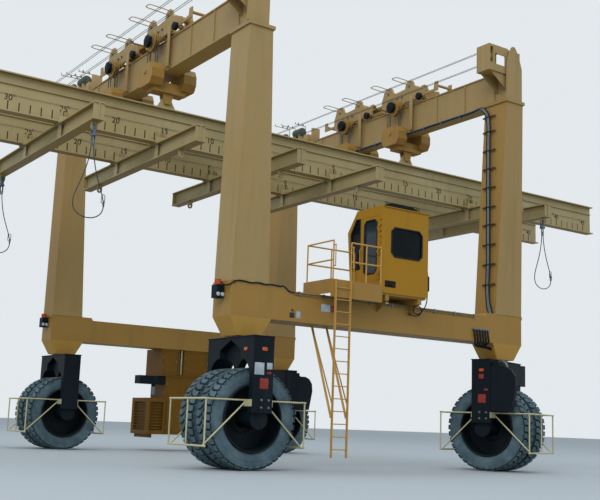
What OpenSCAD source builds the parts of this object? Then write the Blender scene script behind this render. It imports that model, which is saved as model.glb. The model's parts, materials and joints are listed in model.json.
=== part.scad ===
// Straddling gantry crane on rubber tyres with a long spreader, modelled in millimetres.
// X runs along the side frames, Y across the portal, Z up. The origin is the middle of the
// four wheel sets, on the ground.

/* [Portal frame] */
// Distance of each steering axis from the middle, along X
corner_x = 4360; // [4200:10:4600]
// Distance of each side frame's centre from the middle, along Y
side_y = 5880; // [5600:10:6400]
// Distance of each upper girder's centre from the middle, along X
girder_x = 4572; // [4450:1:4700]
// Height of the sills' underside
sill_bottom = 3590; // [3500:10:3800]
// Height of a sill
sill_h = 750; // [600:10:800]
// Width of a sill and of a leg's foot, along Y
sill_w = 840; // [760:10:900]
// Length of a corner block, along X
block_l = 1160; // [1120:10:1200]
// Thickness of the joint plates at a leg's foot and head
joint_t = 90; // [60:5:110]
// Length of a leg between its joint plates
leg_h = 6430; // [6300:10:7200]
// Length of a leg's foot, along X
leg_foot_l = 1060; // [1000:10:1060]
// Length of a leg's head, along X
leg_head_l = 680; // [600:10:720]
// Width of a leg's head, along Y
leg_head_w = 900; // [840:10:920]
// How far a leg's head leans outwards
leg_lean = 130; // [100:5:160]

/* [Upper girders] */
// Width of a girder over its flanges
girder_w = 520; // [480:5:540]
// Height of a girder
girder_h = 980; // [900:10:1050]
// Width of a girder over its webs
girder_web = 450; // [400:5:460]
// Thickness of a girder's flanges
girder_flange = 36; // [25:1:45]
// Distance between the webs' upright stiffeners
stiffener_pitch = 1290; // [1100:10:1500]

/* [Steering forks] */
// Height of the turning joint under each corner
pivot_z = 3140; // [3050:5:3200]
// Length of a fork across both tyres
fork_l = 2150; // [2050:10:2200]
// Width of a fork's legs
fork_w = 560; // [520:10:600]
// Thickness of a fork's legs
fork_leg_t = 150; // [120:5:170]
// Height of a fork's top box
fork_box_h = 910; // [880:10:930]
// Angle that the near right fork is turned by
turned = -70; // [-80:1:-60]

/* [Wheels] */
// Diameter of a tyre over its lugs
tyre_d = 2380; // [2300:10:2420]
// Width of a tyre
tyre_w = 620; // [560:10:640]
// Distance between the two tyres' middle planes
tyre_pitch = 840; // [820:10:860]
// Diameter of a rim
rim_d = 1540; // [1400:10:1600]
// Depth of a tyre's lugs
lug_h = 42; // [30:1:60]
// Lugs round each edge of a tyre
lug_count = 26; // [22:1:30]
// Diameter of the drive hub at the foot of a fork's leg
hub_d = 480; // [400:10:500]

/* [Wheel guards] */
// Diameter of the guard tubes
guard_tube = 46; // [40:1:60]
// Distance of a guard's front from the axle
guard_reach = 1350; // [1310:10:1400]
// Clearance between a tyre's side and a guard's stays
guard_gap = 38; // [30:1:50]
// Height of the upper guard rail
guard_top = 1610; // [1550:10:1650]
// Height of the lower guard rail
guard_low = 550; // [450:10:600]

/* [Trolleys] */
// Distance of each hoist line from the middle, along Y
hoist_y = 1400; // [1350:5:1450]
// Length of one trolley unit, along Y
unit_l = 2300; // [2200:10:2400]
// Diameter of the hoist sheaves
sheave_d = 560; // [500:10:600]
// Distance of a sheave's middle from its girder's middle
fall_x = 520; // [500:5:540]

/* [Spreader] */
// One foot on the rule painted along the beams
rule_foot = 304.8; // [300:0.1:306]
// Half the length of the spreader's beams
beam_half = 14150; // [14000:10:14400]
// Distance of the beams' underside below the upper girders
beam_drop = 2065; // [2000:5:2600]
// Depth of the spreader's beams
beam_h = 1070; // [1000:10:1100]
// Width of the beams' flanges
beam_w = 320; // [280:5:360]
// Thickness of the beams' webs
beam_web = 24; // [16:1:40]
// Thickness of the beams' flanges
beam_flange = 36; // [24:1:50]
// Distance of the cross beams' ends from the middle, along Y
arm_y = 3880; // [3800:10:4000]
// Depth of a cross beam
arm_h = 460; // [400:10:500]
// Width of a cross beam
arm_w = 300; // [260:5:340]

/* [Cab] */
// Length of the cab along X
cab_l = 1600; // [1500:10:1640]
// Depth of the cab across its roof
cab_roof_d = 1080; // [1000:10:1150]
// Depth of the cab at the foot of its windscreen
cab_floor_d = 1300; // [1260:10:1350]
// Depth of the cab at the knee of its windscreen
cab_knee_d = 1480; // [1440:10:1520]
// Height of the cab
cab_h = 2300; // [2200:10:2350]
// Height of the windscreen's knee above the floor
cab_knee_h = 1750; // [1600:10:1800]
// Thickness of the cab's walls
cab_t = 60; // [50:1:80]
// Middle of the cab, along X
cab_x = 50; // [0:10:100]
// Outer face of the cab, along Y, from the middle
cab_y = 6760; // [6700:10:6900]

/* [Platform and ladder] */
// Length of the platform, along X
deck_l = 1650; // [1600:10:1900]
// Height of the platform's floor
deck_z = 4700; // [4650:10:4750]
// Height of the handrail above the floor
rail_h = 980; // [950:10:1100]
// Diameter of the handrail's tubes
rail_tube = 42; // [34:1:48]
// Distance between the ladder's rungs
rung_pitch = 305; // [280:5:320]
// Width of the ladder
ladder_w = 460; // [400:10:500]

/* [Power pack] */
// Length of the power pack, along X
pack_l = 2450; // [2200:10:2500]
// Width of the power pack, along Y
pack_w = 1250; // [1150:10:1300]
// Height of the power pack's underside above the ground
pack_z = 450; // [400:10:600]

/* [Hidden] */
CORNERS = [ // name, side along X, side along Y, steering angle
  ["near_left", -1, -1, 0],
  ["near_right", 1, -1, turned],
  ["far_left", -1, 1, 0],
  ["far_right", 1, 1, 0]
];

paint = "#a9822f";
paint_pale = "#b09a68";
black = "#15191d";
rubber = "#3a4142";
guard_paint = "#d9cf8f";
steel = "#8d9192";

sill_top = sill_bottom + sill_h;
leg_z = sill_top + joint_t;
girder_z = leg_z + leg_h + joint_t;
girder_top = girder_z + girder_h;
leg_foot_x = corner_x + 50;
leg_head_x = girder_x - 50;
leg_head_y = side_y + leg_lean;
girder_half = leg_head_y + leg_head_w / 2;
fork_top = pivot_z - 30;
axle_z = tyre_d / 2;
beam_z = girder_z - beam_drop;
beam_top = beam_z + beam_h;
arm_z = beam_z - arm_h;
lug_pin_z = beam_top + 240;
track_x = 150;
track_w = 60;
track_h = 40;
track_half = girder_half - 1300;
seat_gap = 0.3;
hub_in = (tyre_pitch + tyre_w) / 2 - 200;

// A straight box whose ends differ in size and place: [x, y] sizes and an [x, y] shift.
module tapered(low, high, h, shift = [0, 0]) {
  reach = 4000;
  intersection() {
    rotate([90, 0, 0]) linear_extrude(reach, center = true)
      polygon([[-low.x / 2, 0], [low.x / 2, 0],
               [shift.x + high.x / 2, h], [shift.x - high.x / 2, h]]);
    rotate([90, 0, 90]) linear_extrude(reach, center = true)
      polygon([[-low.y / 2, 0], [low.y / 2, 0],
               [shift.y + high.y / 2, h], [shift.y - high.y / 2, h]]);
  }
}

// A block from its low corner, given by its middle in X and Y.
module block(size, at) {
  translate([at.x - size.x / 2, at.y - size.y / 2, at.z]) cube(size);
}

// A plate in the YZ plane with its middle plane at x.
module plate_x(x, t) {
  translate([x - t / 2, 0, 0]) rotate([90, 0, 90]) linear_extrude(t) children();
}

// A plate in the XZ plane with its middle plane at y.
module plate_y(y, t) {
  translate([0, y + t / 2, 0]) rotate([90, 0, 0]) linear_extrude(t) children();
}

// A round bar between two points.
module bar(a, b, d) {
  v = b - a;
  translate(a) rotate([0, acos(v.z / norm(v)), atan2(v.y, v.x)]) cylinder(d = d, h = norm(v));
}

module rod_x(x0, x1, y, z, d) {
  bar([x0, y, z], [x1, y, z], d);
}

module rod_y(y0, y1, x, z, d) {
  bar([x, y0, z], [x, y1, z], d);
}

// One side frame's sill with its two corner blocks and the stepped joint plates.
module sill(side) {
  y = side * side_y;
  step = 340;
  color(paint) {
    block([2 * (corner_x + block_l / 2), sill_w, sill_h], [0, y, sill_bottom]);
    for (sx = [-1, 1])
      plate_y(y, sill_w)
        polygon([
          for (p = [[leg_foot_l / 2 + 30, 0], [-leg_foot_l / 2 - step - 60, 0],
                    [-leg_foot_l / 2 - step, joint_t], [leg_foot_l / 2 + 30, joint_t]])
            [sx * (leg_foot_x + p.x), sill_top + p.y]
        ]);
  }
}

// The tapered heads under a side frame's corners, with their turning rings.
module pivot_heads(side) {
  head_l = 680;
  neck_d = 600;
  ring_h = 40;
  color(paint)
    for (sx = [-1, 1])
      translate([sx * corner_x, side * side_y, 0]) {
        translate([0, 0, pivot_z])
          tapered([head_l, head_l], [block_l, sill_w], sill_bottom - pivot_z);
        translate([0, 0, pivot_z - ring_h / 2]) cylinder(d = neck_d, h = ring_h);
      }
}

// A leg that narrows along X and widens and leans outwards along Y.
module leg(sx, sy) {
  color(paint_pale)
    translate([sx * leg_foot_x, sy * side_y, leg_z]) {
      tapered([leg_foot_l, sill_w], [leg_head_l, leg_head_w], leg_h,
              [sx * (leg_head_x - leg_foot_x), sy * leg_lean]);
      translate([sx * (leg_head_x - leg_foot_x), sy * leg_lean, 0])
        block([leg_head_l + 90, leg_head_w + 90, joint_t], [0, 0, leg_h]);
    }
}

// An upper box girder with flanges, stiffeners, track bars and a gabled plate at its near end.
module girder(sx) {
  gable_t = 40;
  x = sx * girder_x;
  count = floor(2 * girder_half / stiffener_pitch) - 1;
  color(paint_pale) {
    block([girder_web, 2 * girder_half, girder_h], [x, 0, girder_z]);
    for (z = [girder_z, girder_top - girder_flange])
      block([girder_w, 2 * girder_half, girder_flange], [x, 0, z]);
    for (k = [0:count], s = [-1, 1])
      block([(girder_w - girder_web) / 2, 24, girder_h - 2 * girder_flange],
            [x + s * (girder_w + girder_web) / 4, (k - count / 2) * stiffener_pitch,
             girder_z + girder_flange]);
    for (s = [-1, 1])
      block([track_w, 2 * track_half, track_h], [x + s * track_x, 0, girder_top]);
    plate_y(gable_t / 2 - girder_half, gable_t)
      polygon([[x - girder_w / 2 - 120, girder_z], [x + girder_w / 2, girder_z],
               [x + girder_w / 2, girder_top + 60], [x + 170, girder_top + 330],
               [x + 20, girder_top + 640], [x - 40, girder_top + 710],
               [x - 150, girder_top + 710], [x - 210, girder_top + 640],
               [x - 330, girder_top + 330], [x - girder_w / 2 - 120, girder_top + 60]]);
  }
}

// The boxed frame at a girder's near end that turns the hauling ropes round a sheave.
module rope_head(sx) {
  x1 = sx * girder_x - girder_w / 2;
  web_x = sx * girder_x - girder_web / 2;
  reach = 800;
  depth = 520;
  wall = 40;
  h = 820;
  x0 = x1 - reach;
  y0 = 80 - girder_half;
  z0 = girder_top - 190;
  axle = z0 + h / 2 + 60;
  color(paint_pale) {
    for (y = [y0 + wall / 2, y0 + depth - wall / 2])
      plate_y(y, wall)
        difference() {
          translate([x0, z0]) square([reach, h]);
          translate([x0 + 60, z0 + 250]) square([120, h - 330]);
          translate([x0 + 260, z0 + 230]) square([430, 330]);
        }
    for (z = [z0 + 2, z0 + h - wall - 2])
      block([reach - 4, depth - wall, wall], [x1 - reach / 2, y0 + depth / 2, z]);
    for (x = [x0 + wall / 2 + 2, x0 + 220])
      block([wall, depth - wall, h - wall], [x, y0 + depth / 2, z0 + wall / 2]);
    translate([x1 - 40, y0 + 5, girder_top + 340]) cube([girder_w + 40, 60, 260]);
    translate([x1 + girder_w - 60, y0 + 8, girder_top]) cube([50, 54, 400]);
    for (y = [y0 + 60, y0 + depth - 60])
      plate_y(y, 30)
        polygon([[x0 + 90, z0 + 20], [x1 - 10, z0 + 20], [x1 - 10, z0 - 30], [web_x, z0 - 60],
                 [web_x, z0 - 500]]);
  }
  color(black)
    rod_x(x0 + wall + 15, x0 + 180, y0 + depth / 2, axle, 424);
  color(steel)
    rod_x(x0 + wall - 10, x0 + 210, y0 + depth / 2, axle, 110);
}

// The winch at a girder's far end: cheeks, a drum and its motor.
module winch(sx) {
  x = sx * girder_x;
  y = girder_half - 620;
  z = girder_top + 380;
  color(paint_pale) {
    for (s = [-1, 1])
      plate_x(x + s * 240, 40)
        polygon([[y - 480, girder_top], [y + 480, girder_top], [y + 260, girder_top + 620],
                 [y - 260, girder_top + 620]]);
    block([480, 960, 40], [x, y, girder_top]);
  }
  color(steel) rod_x(x - 220, x + 220, y, z, 420);
  color(black) rod_x(x + 260, x + 520, y, z, 260);
}

// The power pack slung under the far sill: upper cabinets with a slot between them, the
// engine house below, and the radiator's louvred box beside it.
module power_pack() {
  y0 = side_y - sill_w / 2 + 20;
  x0 = -pack_l / 2;
  x1 = pack_l / 2;
  deck = 2680;
  slot = [x0 + 1170, x0 + 1350];
  house_x = x0 + 690;
  box_h = 1260;
  front = 40;
  color(paint) {
    for (span = [[x0 + 465, slot[0]], [slot[1], x1]])
      translate([span[0], y0, deck]) cube([span[1] - span[0], pack_w, sill_bottom - deck]);
    translate([slot[0] - 1, y0 + 60, deck]) cube([slot[1] - slot[0] + 2, pack_w - 120, 700]);
    translate([house_x, y0 + front, pack_z + 120])
      cube([x1 - house_x - 80, pack_w - 2 * front, deck - pack_z - 119]);
    translate([x0 + 440, y0 + front / 2, deck - 60]) cube([pack_l - 440, pack_w - front, 60]);
    difference() {
      translate([x0, y0 - 60, pack_z + 120]) cube([house_x - x0 + 1, pack_w + 60, box_h]);
      translate([x0 + 90, y0 - 61, pack_z + 260]) cube([house_x - x0 - 180, 90, box_h - 280]);
      translate([x0 - 1, y0 + 120, pack_z + 260]) cube([90, pack_w - 300, box_h - 280]);
    }
    for (k = [0:8]) {
      z = pack_z + 300 + k * (box_h - 300) / 9;
      translate([x0 + 20, y0 + 110, z]) cube([50, pack_w - 280, 26]);
      translate([x0 + 80, y0 - 40, z]) cube([house_x - x0 - 160, 50, 26]);
    }
  }
  color(black)
    for (x = [x0 + 120, x1 - 260])
      translate([x, y0 + 60, pack_z]) cube([140, pack_w - 120, 121]);
}

// The oil tank beside the engine house, with the filter hanging under it.
module fuel_tank() {
  x = -pack_l / 2 - 300;
  y = side_y - 300;
  z = pack_z + 1870;
  color(black) {
    translate([x, y, z]) cube([990, 420, 290]);
    translate([x + 590, y + 120, z - 420]) cylinder(d = 150, h = 421);
  }
}

// Outline of the cab seen along X, from its outer wall inwards.
module cab_outline(inset = 0) {
  polygon([[inset, inset], [cab_floor_d - inset, inset], [cab_knee_d - inset, cab_knee_h],
           [cab_roof_d - inset * 0.7, cab_h - inset], [inset, cab_h - inset]]);
}

cab_x0 = cab_x - cab_l / 2;
cab_z0 = sill_top + 190;

module at_cab() {
  translate([cab_x0, -cab_y, cab_z0]) children();
}

door_w = 700;
door_y = 130;
door_z = deck_z - cab_z0 + 20;
door_h = cab_h - door_z - 250;
door_gap = 6;
hinge_out = 22;
hinge_d = 30;
hinge_l = 70;
hinge_zs = [420, 1050, 1680];

// A window opening with cut corners.
module pane(w, h, c) {
  polygon([[c, 0], [w - c, 0], [w, c], [w, h - c], [w - c, h], [c, h], [0, h - c], [0, c]]);
}

// The slanted pane behind the door, beside the windscreen.
module quarter_pane(grow) {
  y0 = door_y + door_w + 90;
  polygon([[y0 - grow, 700 - grow], [cab_floor_d + 10 + grow, 700 - grow],
           [cab_knee_d - 150 + grow, cab_knee_h - 60], [cab_roof_d + 20, cab_h - 240 + grow],
           [y0 - grow, cab_h - 240 + grow]]);
}

// The cab's walls, floor and roof, open at its windows and at the doorway.
module cab_shell() {
  color(paint)
    at_cab() difference() {
      rotate([90, 0, 90]) linear_extrude(cab_l) cab_outline();
      translate([cab_t, 0, 0]) rotate([90, 0, 90])
        linear_extrude(cab_l - 2 * cab_t) cab_outline(cab_t);
      plate_y(cab_t / 2, cab_t + 2) translate([320, 980]) pane(1060, 780, 110);
      translate([-1, door_y, door_z]) cube([cab_t + 2, door_w, door_h]);
      plate_x(cab_t / 2, cab_t + 2) quarter_pane(0);
      plate_y(cab_t / 2, cab_t + 2)
        translate([120, door_z - 20]) square([360, 150]);
      translate([cab_l - cab_t - 1, 160, 900]) cube([cab_t + 2, 900, 860]);
      translate([120, cab_floor_d - cab_t * 2, 160]) cube([cab_l - 240, 600, 1480]);
      translate([120, cab_roof_d + 40, cab_knee_h + 60])
        cube([cab_l - 240, 600, cab_h - cab_knee_h - 160]);
    }
  color(paint)
    at_cab() for (k = [0:3])
      translate([110, 20, door_z - 12 + k * 36]) cube([380, 20, 20]);
  color(paint)
    at_cab() for (z = hinge_zs, s = [-1, 1])
      translate([-hinge_out, door_y, z + (s > 0 ? hinge_l + seat_gap : -seat_gap - hinge_l)]) {
        cylinder(d = hinge_d, h = hinge_l);
        translate([0, -60, 0]) cube([hinge_out + 1, 60, hinge_l]);
      }
}

// The door in the cab's left wall, a frame round a tall pane.
module cab_door() {
  w = door_w - 2 * door_gap;
  h = door_h - 2 * door_gap;
  color(paint)
    at_cab() translate([0, door_y + door_gap, door_z + door_gap]) {
      difference() {
        cube([cab_t, w, h]);
          plate_x(cab_t / 2, cab_t + 2) translate([80, 330]) pane(w - 160, h - 410, 90);
      }
      translate([-36, w - 75, 900]) cube([36, 30, 220]);
    }
    at_cab() for (z = hinge_zs) translate([-hinge_out, door_y, z]) {
      cylinder(d = hinge_d, h = hinge_l);
      translate([-3, 0, 0]) cube([6, 60, hinge_l]);
      translate([0, 50, 0]) cube([hinge_out + 1, 10, hinge_l]);
    }
}

module cab_glass() {
  t = 8;
  color("#20282d")
    at_cab() {
      plate_y(cab_t / 2, t) translate([320, 980]) pane(1060, 780, 110);
      translate([cab_l - 34, 160, 900]) cube([t, 900, 860]);
      translate([120, cab_floor_d - 45, 160]) cube([cab_l - 240, t, 1480]);
      plate_x(cab_t / 2, t) quarter_pane(0);
    }
}

module cab_seat() {
  color(black)
    at_cab() translate([cab_l / 2 - 250, 350, cab_t]) {
      translate([170, 150, 0]) cube([160, 200, 400]);
      translate([0, 0, 400]) cube([500, 500, 120]);
      translate([20, -10, 520]) cube([460, 110, 640]);
    }
}

module cab_console() {
  color(black)
    at_cab() for (x = [cab_l / 2 - 430, cab_l / 2 + 290])
      translate([x, 380, cab_t]) cube([140, 560, 640]);
}

module cab_aircon() {
  color(black)
    at_cab() {
      translate([420, 160, cab_h]) cube([900, 700, 110]);
      translate([470, 210, cab_h + 109]) cube([800, 600, 60]);
      for (k = [0:4]) translate([520 + k * 150, 150, cab_h + 20]) cube([90, 11, 70]);
    }
}

deck_x0 = cab_x0 - deck_l;

deck_w = 1200;
deck_y = -cab_y - 60;
ladder_x = deck_x0 + 130;
gate_clear = 50;

// The platform before the cab's door, and the beams and brackets that carry the cab.
module platform() {
  fascia = 12;
  beam_l = 120;
  floor_t = 60;
  color(paint) {
    translate([deck_x0, deck_y, deck_z - floor_t]) cube([deck_l, deck_w, floor_t]);
    translate([deck_x0, deck_y, deck_z - 450]) cube([deck_l, fascia, 450]);
    for (x = [deck_x0, cab_x0 - fascia])
      translate([x, deck_y, sill_top]) cube([fascia, deck_w, deck_z - sill_top]);
    for (x = [cab_x0 + 180, cab_x0 + cab_l - 180 - beam_l]) {
      translate([x, 40 - cab_y, sill_top]) cube([beam_l, cab_floor_d - 80, cab_z0 - sill_top]);
      plate_x(x + beam_l / 2, 16)
        polygon([[60 - cab_y, sill_top + 1], [-side_y - sill_w / 2, sill_top + 1],
                 [-side_y - sill_w / 2, sill_top - 280], [60 - cab_y, sill_top - 30]]);
    }
    translate([cab_x0 - fascia, 40 - cab_y, cab_z0 - 50])
      cube([cab_l + fascia - 40, cab_floor_d - 80, 50]);
  }
}

// The handrail round the platform, open at the ladder, with a grab loop on each gate post.
module handrail() {
  y = deck_y + 30;
  inner = deck_y + deck_w - 40;
  z = deck_z;
  gate = [ladder_x - gate_clear, ladder_x + ladder_w + gate_clear];
  end = cab_x0 - 40;
  POSTS = [[gate[0], y], [gate[1], y], [(gate[1] + end) / 2, y], [end, y],
           [gate[0], inner], [(gate[0] + end) / 2, inner], [end, inner]];
  color(guard_paint) {
    for (p = POSTS)
      bar([p.x, p.y, z], [p.x, p.y, z + rail_h], rail_tube * 0.9);
    for (h = [rail_h, rail_h * 0.5]) {
      rod_x(gate[1], end, y, z + h, rail_tube);
      rod_x(gate[0], end, inner, z + h, rail_tube);
      rod_y(y, inner, gate[0], z + h, rail_tube * 0.95);
    }
    for (x = gate) {
      bar([x, y - 90, z + 330], [x, y - 90, z + 860], 26);
      for (h = [330, 860])
        rod_y(y - 103, y, x, z + h, 30);
    }
  }
}

// The ladder, with two flat stays from the sill's underside.
module ladder() {
  y = deck_y - 36;
  foot = 330;
  stay_z = 1580;
  stay_w = 45;
  pad_h = 16;
  rungs = floor((deck_z - 2 * foot) / rung_pitch);
  color(guard_paint) {
    for (x = [ladder_x, ladder_x + ladder_w])
      translate([x - 10, y - 35, foot]) cube([20, 71, deck_z - foot]);
    for (k = [0:rungs])
      rod_x(ladder_x, ladder_x + ladder_w, y, foot + 200 + k * rung_pitch, 26);
    for (x = [ladder_x, ladder_x + ladder_w]) {
      plate_x(x, 12)
        polygon([[y - 20, stay_z], [y + 25, stay_z], [stay_w / 2 - side_y, sill_bottom - pad_h / 2],
                 [-stay_w / 2 - side_y, sill_bottom - pad_h / 2]]);
      block([140, 120, pad_h], [x, -side_y, sill_bottom - pad_h]);
    }
  }
}

// A wheel fork: a tall box with two arches and a house-shaped pocket on each face, outer
// legs with squared ends, the hubs, and on driven forks a gear box and its side cover.
module fork(c) {
  leg_foot = axle_z + 130;
  box_z = fork_top - fork_box_h;
  arch_r = (fork_l / 2 - fork_leg_t - 20) / 2;
  pocket_w = 490;
  pocket_t = 180;
  inner_leg = 100;
  cover_y = -fork_l / 2 + 90;
  color(black)
    place(c) {
      difference() {
        block([fork_w, fork_l, fork_box_h - 20], [0, 0, box_z]);
        for (s = [-1, 1])
          translate([-fork_w, s * (arch_r + 20), box_z - 50])
            rotate([0, 90, 0]) cylinder(r = arch_r, h = 2 * fork_w);
        for (s = [-1, 1])
          plate_x(s * (fork_w / 2 - pocket_t / 2 + 1), pocket_t)
            polygon([[-pocket_w, box_z - 1], [pocket_w, box_z - 1], [pocket_w, fork_top - 310],
                     [0, fork_top - 70], [-pocket_w, fork_top - 310]]);
      }
      block([fork_w + 36, fork_l + 36, 20.5], [0, 0, fork_top - 20.5]);
      translate([0, 0, fork_top - 1]) cylinder(d = 620, h = 11 - seat_gap);
      for (s = [-1, 1]) {
        block([fork_w, fork_leg_t, box_z - leg_foot + 1],
              [0, s * (fork_l - fork_leg_t) / 2, leg_foot]);
        rod_y(s * hub_in, s * (fork_l / 2 - fork_leg_t + 40), 0, axle_z, hub_d);
      }
      block([fork_w - 2 * pocket_t + 60, inner_leg, fork_box_h - 300],
            [0, 0, box_z - 420]);
      if (c[1] > 0) {
        block([200, fork_l - 220, 600], [fork_w / 2 + 99, 0, box_z + 230]);
        plate_y(cover_y, 150)
          polygon([[fork_w / 2 - 1, leg_foot + 330], [fork_w / 2 + 620, leg_foot + 330],
                   [fork_w / 2 + 760, box_z + 160], [fork_w / 2 + 730, box_z + 440],
                   [fork_w / 2 + 600, box_z + 620], [fork_w / 2 + 420, box_z + 700],
                   [fork_w / 2 - 1, box_z + 700]]);
      }
    }
}

// Puts a piece at a corner, turned to its steering angle.
module place(c) {
  translate([c[1] * corner_x, c[2] * side_y, 0]) rotate([0, 0, c[3]]) children();
}

module guards(c) {
  w = (tyre_pitch + tyre_w) / 2 + guard_gap + 2 * guard_tube;
  thin = guard_tube * 0.85;
  foot_t = 12;
  foot_x = fork_w / 2 + foot_t / 2;
  color(guard_paint)
    place(c)
      for (s = [-1, 1]) {
        for (y = [-w, 0, w])
          bar([s * guard_reach, y, guard_low], [s * guard_reach, y, guard_top], thin);
        for (z = [guard_low, guard_top])
          rod_y(-w - thin, w + thin, s * guard_reach, z, guard_tube);
        for (t = [-1, 1]) {
          y = t * (w - 2 * guard_tube);
          rod_x(s * guard_reach, s * foot_x, y, guard_top, thin);
          bar([s * guard_reach, y, guard_low], [s * foot_x, y, guard_top - 60], thin);
          block([foot_t, fork_l / 2 - w + 3 * guard_tube, 160],
                [s * (fork_w + foot_t) / 2, t * (fork_l / 2 + w - 3 * guard_tube) / 2,
                 guard_top - 140]);
        }
      }
}

// Two rims on one axle, each a barrel with a recessed disc, joined by the axle tube.
module rims(c) {
  t = 30;
  color(black)
    place(c) translate([0, 0, axle_z]) rotate([90, 0, 0]) {
      for (s = [-1, 1]) translate([0, 0, s * tyre_pitch / 2])
        rotate_extrude($fn = 96) polygon([
          [rim_d / 2 - t, -tyre_w * 0.44], [rim_d / 2, -tyre_w * 0.44],
          [rim_d / 2, tyre_w * 0.44], [rim_d / 2 - t, tyre_w * 0.44]]);
      for (s = [-1, 1]) translate([0, 0, s * (tyre_pitch / 2 - 200) - 20])
        cylinder(d = rim_d - 20, h = 40);
      cylinder(d = 420, h = 2 * (hub_in - seat_gap), center = true);
    }
}

// Two tyres with rounded shoulders.
module tyres(c) {
  r = tyre_d / 2;
  ri = rim_d / 2;
  w = tyre_w / 2;
  color(rubber)
    place(c) translate([0, 0, axle_z]) rotate([90, 0, 0])
      for (s = [-1, 1]) translate([0, 0, s * tyre_pitch / 2])
        rotate_extrude($fn = 96) polygon([
          [ri, -w * 0.8], [ri + 60, -w * 0.92], [ri + 200, -w], [r - 90, -w * 0.94],
          [r - lug_h, -w * 0.86], [r, -w * 0.6], [r, w * 0.6], [r - lug_h, w * 0.86],
          [r - 90, w * 0.94], [ri + 200, w], [ri + 60, w * 0.92], [ri, w * 0.8]]);
}

// A trolley: two units of side plates over the girder with heads, joined by a link beam.
// Its wheels run on the girder's track bars.
trolley_wheel_d = 180;
trolley_axle_z = girder_top + track_h + trolley_wheel_d / 2 + seat_gap;
trolley_gap = girder_w / 2 + 20;
trolley_plate = 60;

UNIT = [ // outline of a unit's side plate: distance along the girder, height over its top
  [-1300, 120], [-1300, 380], [-920, 500], [-760, 600], [-700, 770], [-610, 830],
  [-450, 830], [-360, 770], [-300, 590], [150, 560], [330, 620], [390, 780], [480, 850],
  [680, 850], [780, 790], [940, 430], [940, 110], [820, 0], [-120, 0], [-300, 110]
];

module trolley(sx) {
  x = sx * girder_x;
  z = girder_top;
  plate_x = trolley_gap + trolley_plate / 2;
  reach = trolley_gap + trolley_plate;
  wheel_y = [-1080, 0, 760];
  color(paint_pale) {
    for (sy = [-1, 1]) {
      y = sy * hoist_y;
      for (s = [-1, 1])
        plate_x(x + s * plate_x, trolley_plate)
          polygon([for (p = UNIT) [y + p[0], z + p[1]]]);
      for (dy = wheel_y)
        rod_x(x - reach + 5, x + reach - 5, y + dy, trolley_axle_z, 90);
      for (dy = [wheel_y[0], wheel_y[2]], s = [-1, 1])
        rod_x(x + s * track_x - 35, x + s * track_x + 35, y + dy, trolley_axle_z,
              trolley_wheel_d);
      block([2 * reach - 10, 160, 60], [x, y + 60, z + 360]);
      for (dy = [-530, 580])
        rod_x(x - reach + 8, x + reach - 8, y + dy, z + 640, 180);
    }
    block([260, 2 * hoist_y, 60], [x, 60, z + 370]);
    for (end = [[-hoist_y - 1300, -1], [hoist_y + 940, 1]], s = [-1, 1])
      plate_x(x + s * (plate_x - 8), 40)
        polygon([[end[0] - 40 * end[1], z + 150],
                 [end[0] + 620 * end[1], z + 150],
                 [end[0] + 620 * end[1], z + 460],
                 [end[0] + 470 * end[1], z + 460],
                 [end[0] + 430 * end[1], z + 230],
                 [end[0] - 40 * end[1], z + 230]]);
    for (y = [-hoist_y - 1300 - 560, hoist_y + 940 + 560])
      rod_x(x - reach + 50, x + reach - 50, y, z + 320, 90);
  }
}

sheave_w = 150;
sheave_z = girder_top - 60;
groove_r = 0.86 * sheave_d / 2;
sheave_section = [ // two flat grooves, [radius, distance from the middle plane]
  [0, -sheave_w / 2], [sheave_d / 2, -sheave_w / 2], [sheave_d / 2, -sheave_w * 0.4],
  [groove_r, -sheave_w * 0.37], [groove_r, -sheave_w * 0.1], [sheave_d / 2, -sheave_w * 0.07],
  [sheave_d / 2, sheave_w * 0.07], [groove_r, sheave_w * 0.1], [groove_r, sheave_w * 0.37],
  [sheave_d / 2, sheave_w * 0.4], [sheave_d / 2, sheave_w / 2], [0, sheave_w / 2]
];

// The four hoist sheaves of one trolley on their stub axles.
module sheaves(sx) {
  x = sx * girder_x;
  face = trolley_gap + trolley_plate;
  color(black)
    for (sy = [-1, 1], s = [-1, 1]) {
      translate([x + s * fall_x, sy * hoist_y, sheave_z]) rotate([0, 90, 0])
        rotate_extrude($fn = 96) polygon(sheave_section);
      rod_x(x + s * (fall_x + sheave_w / 2 - 10), x + s * (fall_x + sheave_w / 2 + 60),
            sy * hoist_y, sheave_z, 250);
      rod_x(x + s * face, x + s * fall_x, sy * hoist_y, girder_top + 110, 120);
    }
}

block_z = lug_pin_z + 330;
block_h = 640;
lug_t = 100;
lug_bore = 90;
clevis_t = 50;

// Both load blocks of one girder: side boxes joined by a crosshead under the girder.
module blocks(sx) {
  x = sx * girder_x;
  color(paint)
    for (sy = [-1, 1]) {
      y = sy * hoist_y;
      for (s = [-1, 1])
        plate_x(x + s * fall_x, 400)
          polygon([[y - 330, block_z], [y + 330, block_z], [y + 440, block_z + 190],
                   [y + 440, block_z + block_h - 190], [y + 335, block_z + block_h],
                   [y - 335, block_z + block_h], [y - 440, block_z + block_h - 190],
                   [y - 440, block_z + 190]]);
      for (s = [-1, 1])
        rod_x(x + s * (fall_x + 185), x + s * (fall_x + 235), y, block_z + 400, 130);
      block([2 * fall_x, 420, 300], [x, y, block_z - 130]);
      for (s = [-1, 1])
        plate_y(y + s * (lug_t / 2 + 20 + clevis_t / 2), clevis_t)
          polygon([[x - 190, block_z - 59], [x + 190, block_z - 59],
                   [x + 100, lug_pin_z - 110], [x - 100, lug_pin_z - 110]]);
      rod_y(y - lug_t / 2 - 25 - clevis_t, y + lug_t / 2 + 25 + clevis_t, x, lug_pin_z,
            lug_bore - 2 * seat_gap);
    }
}

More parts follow.
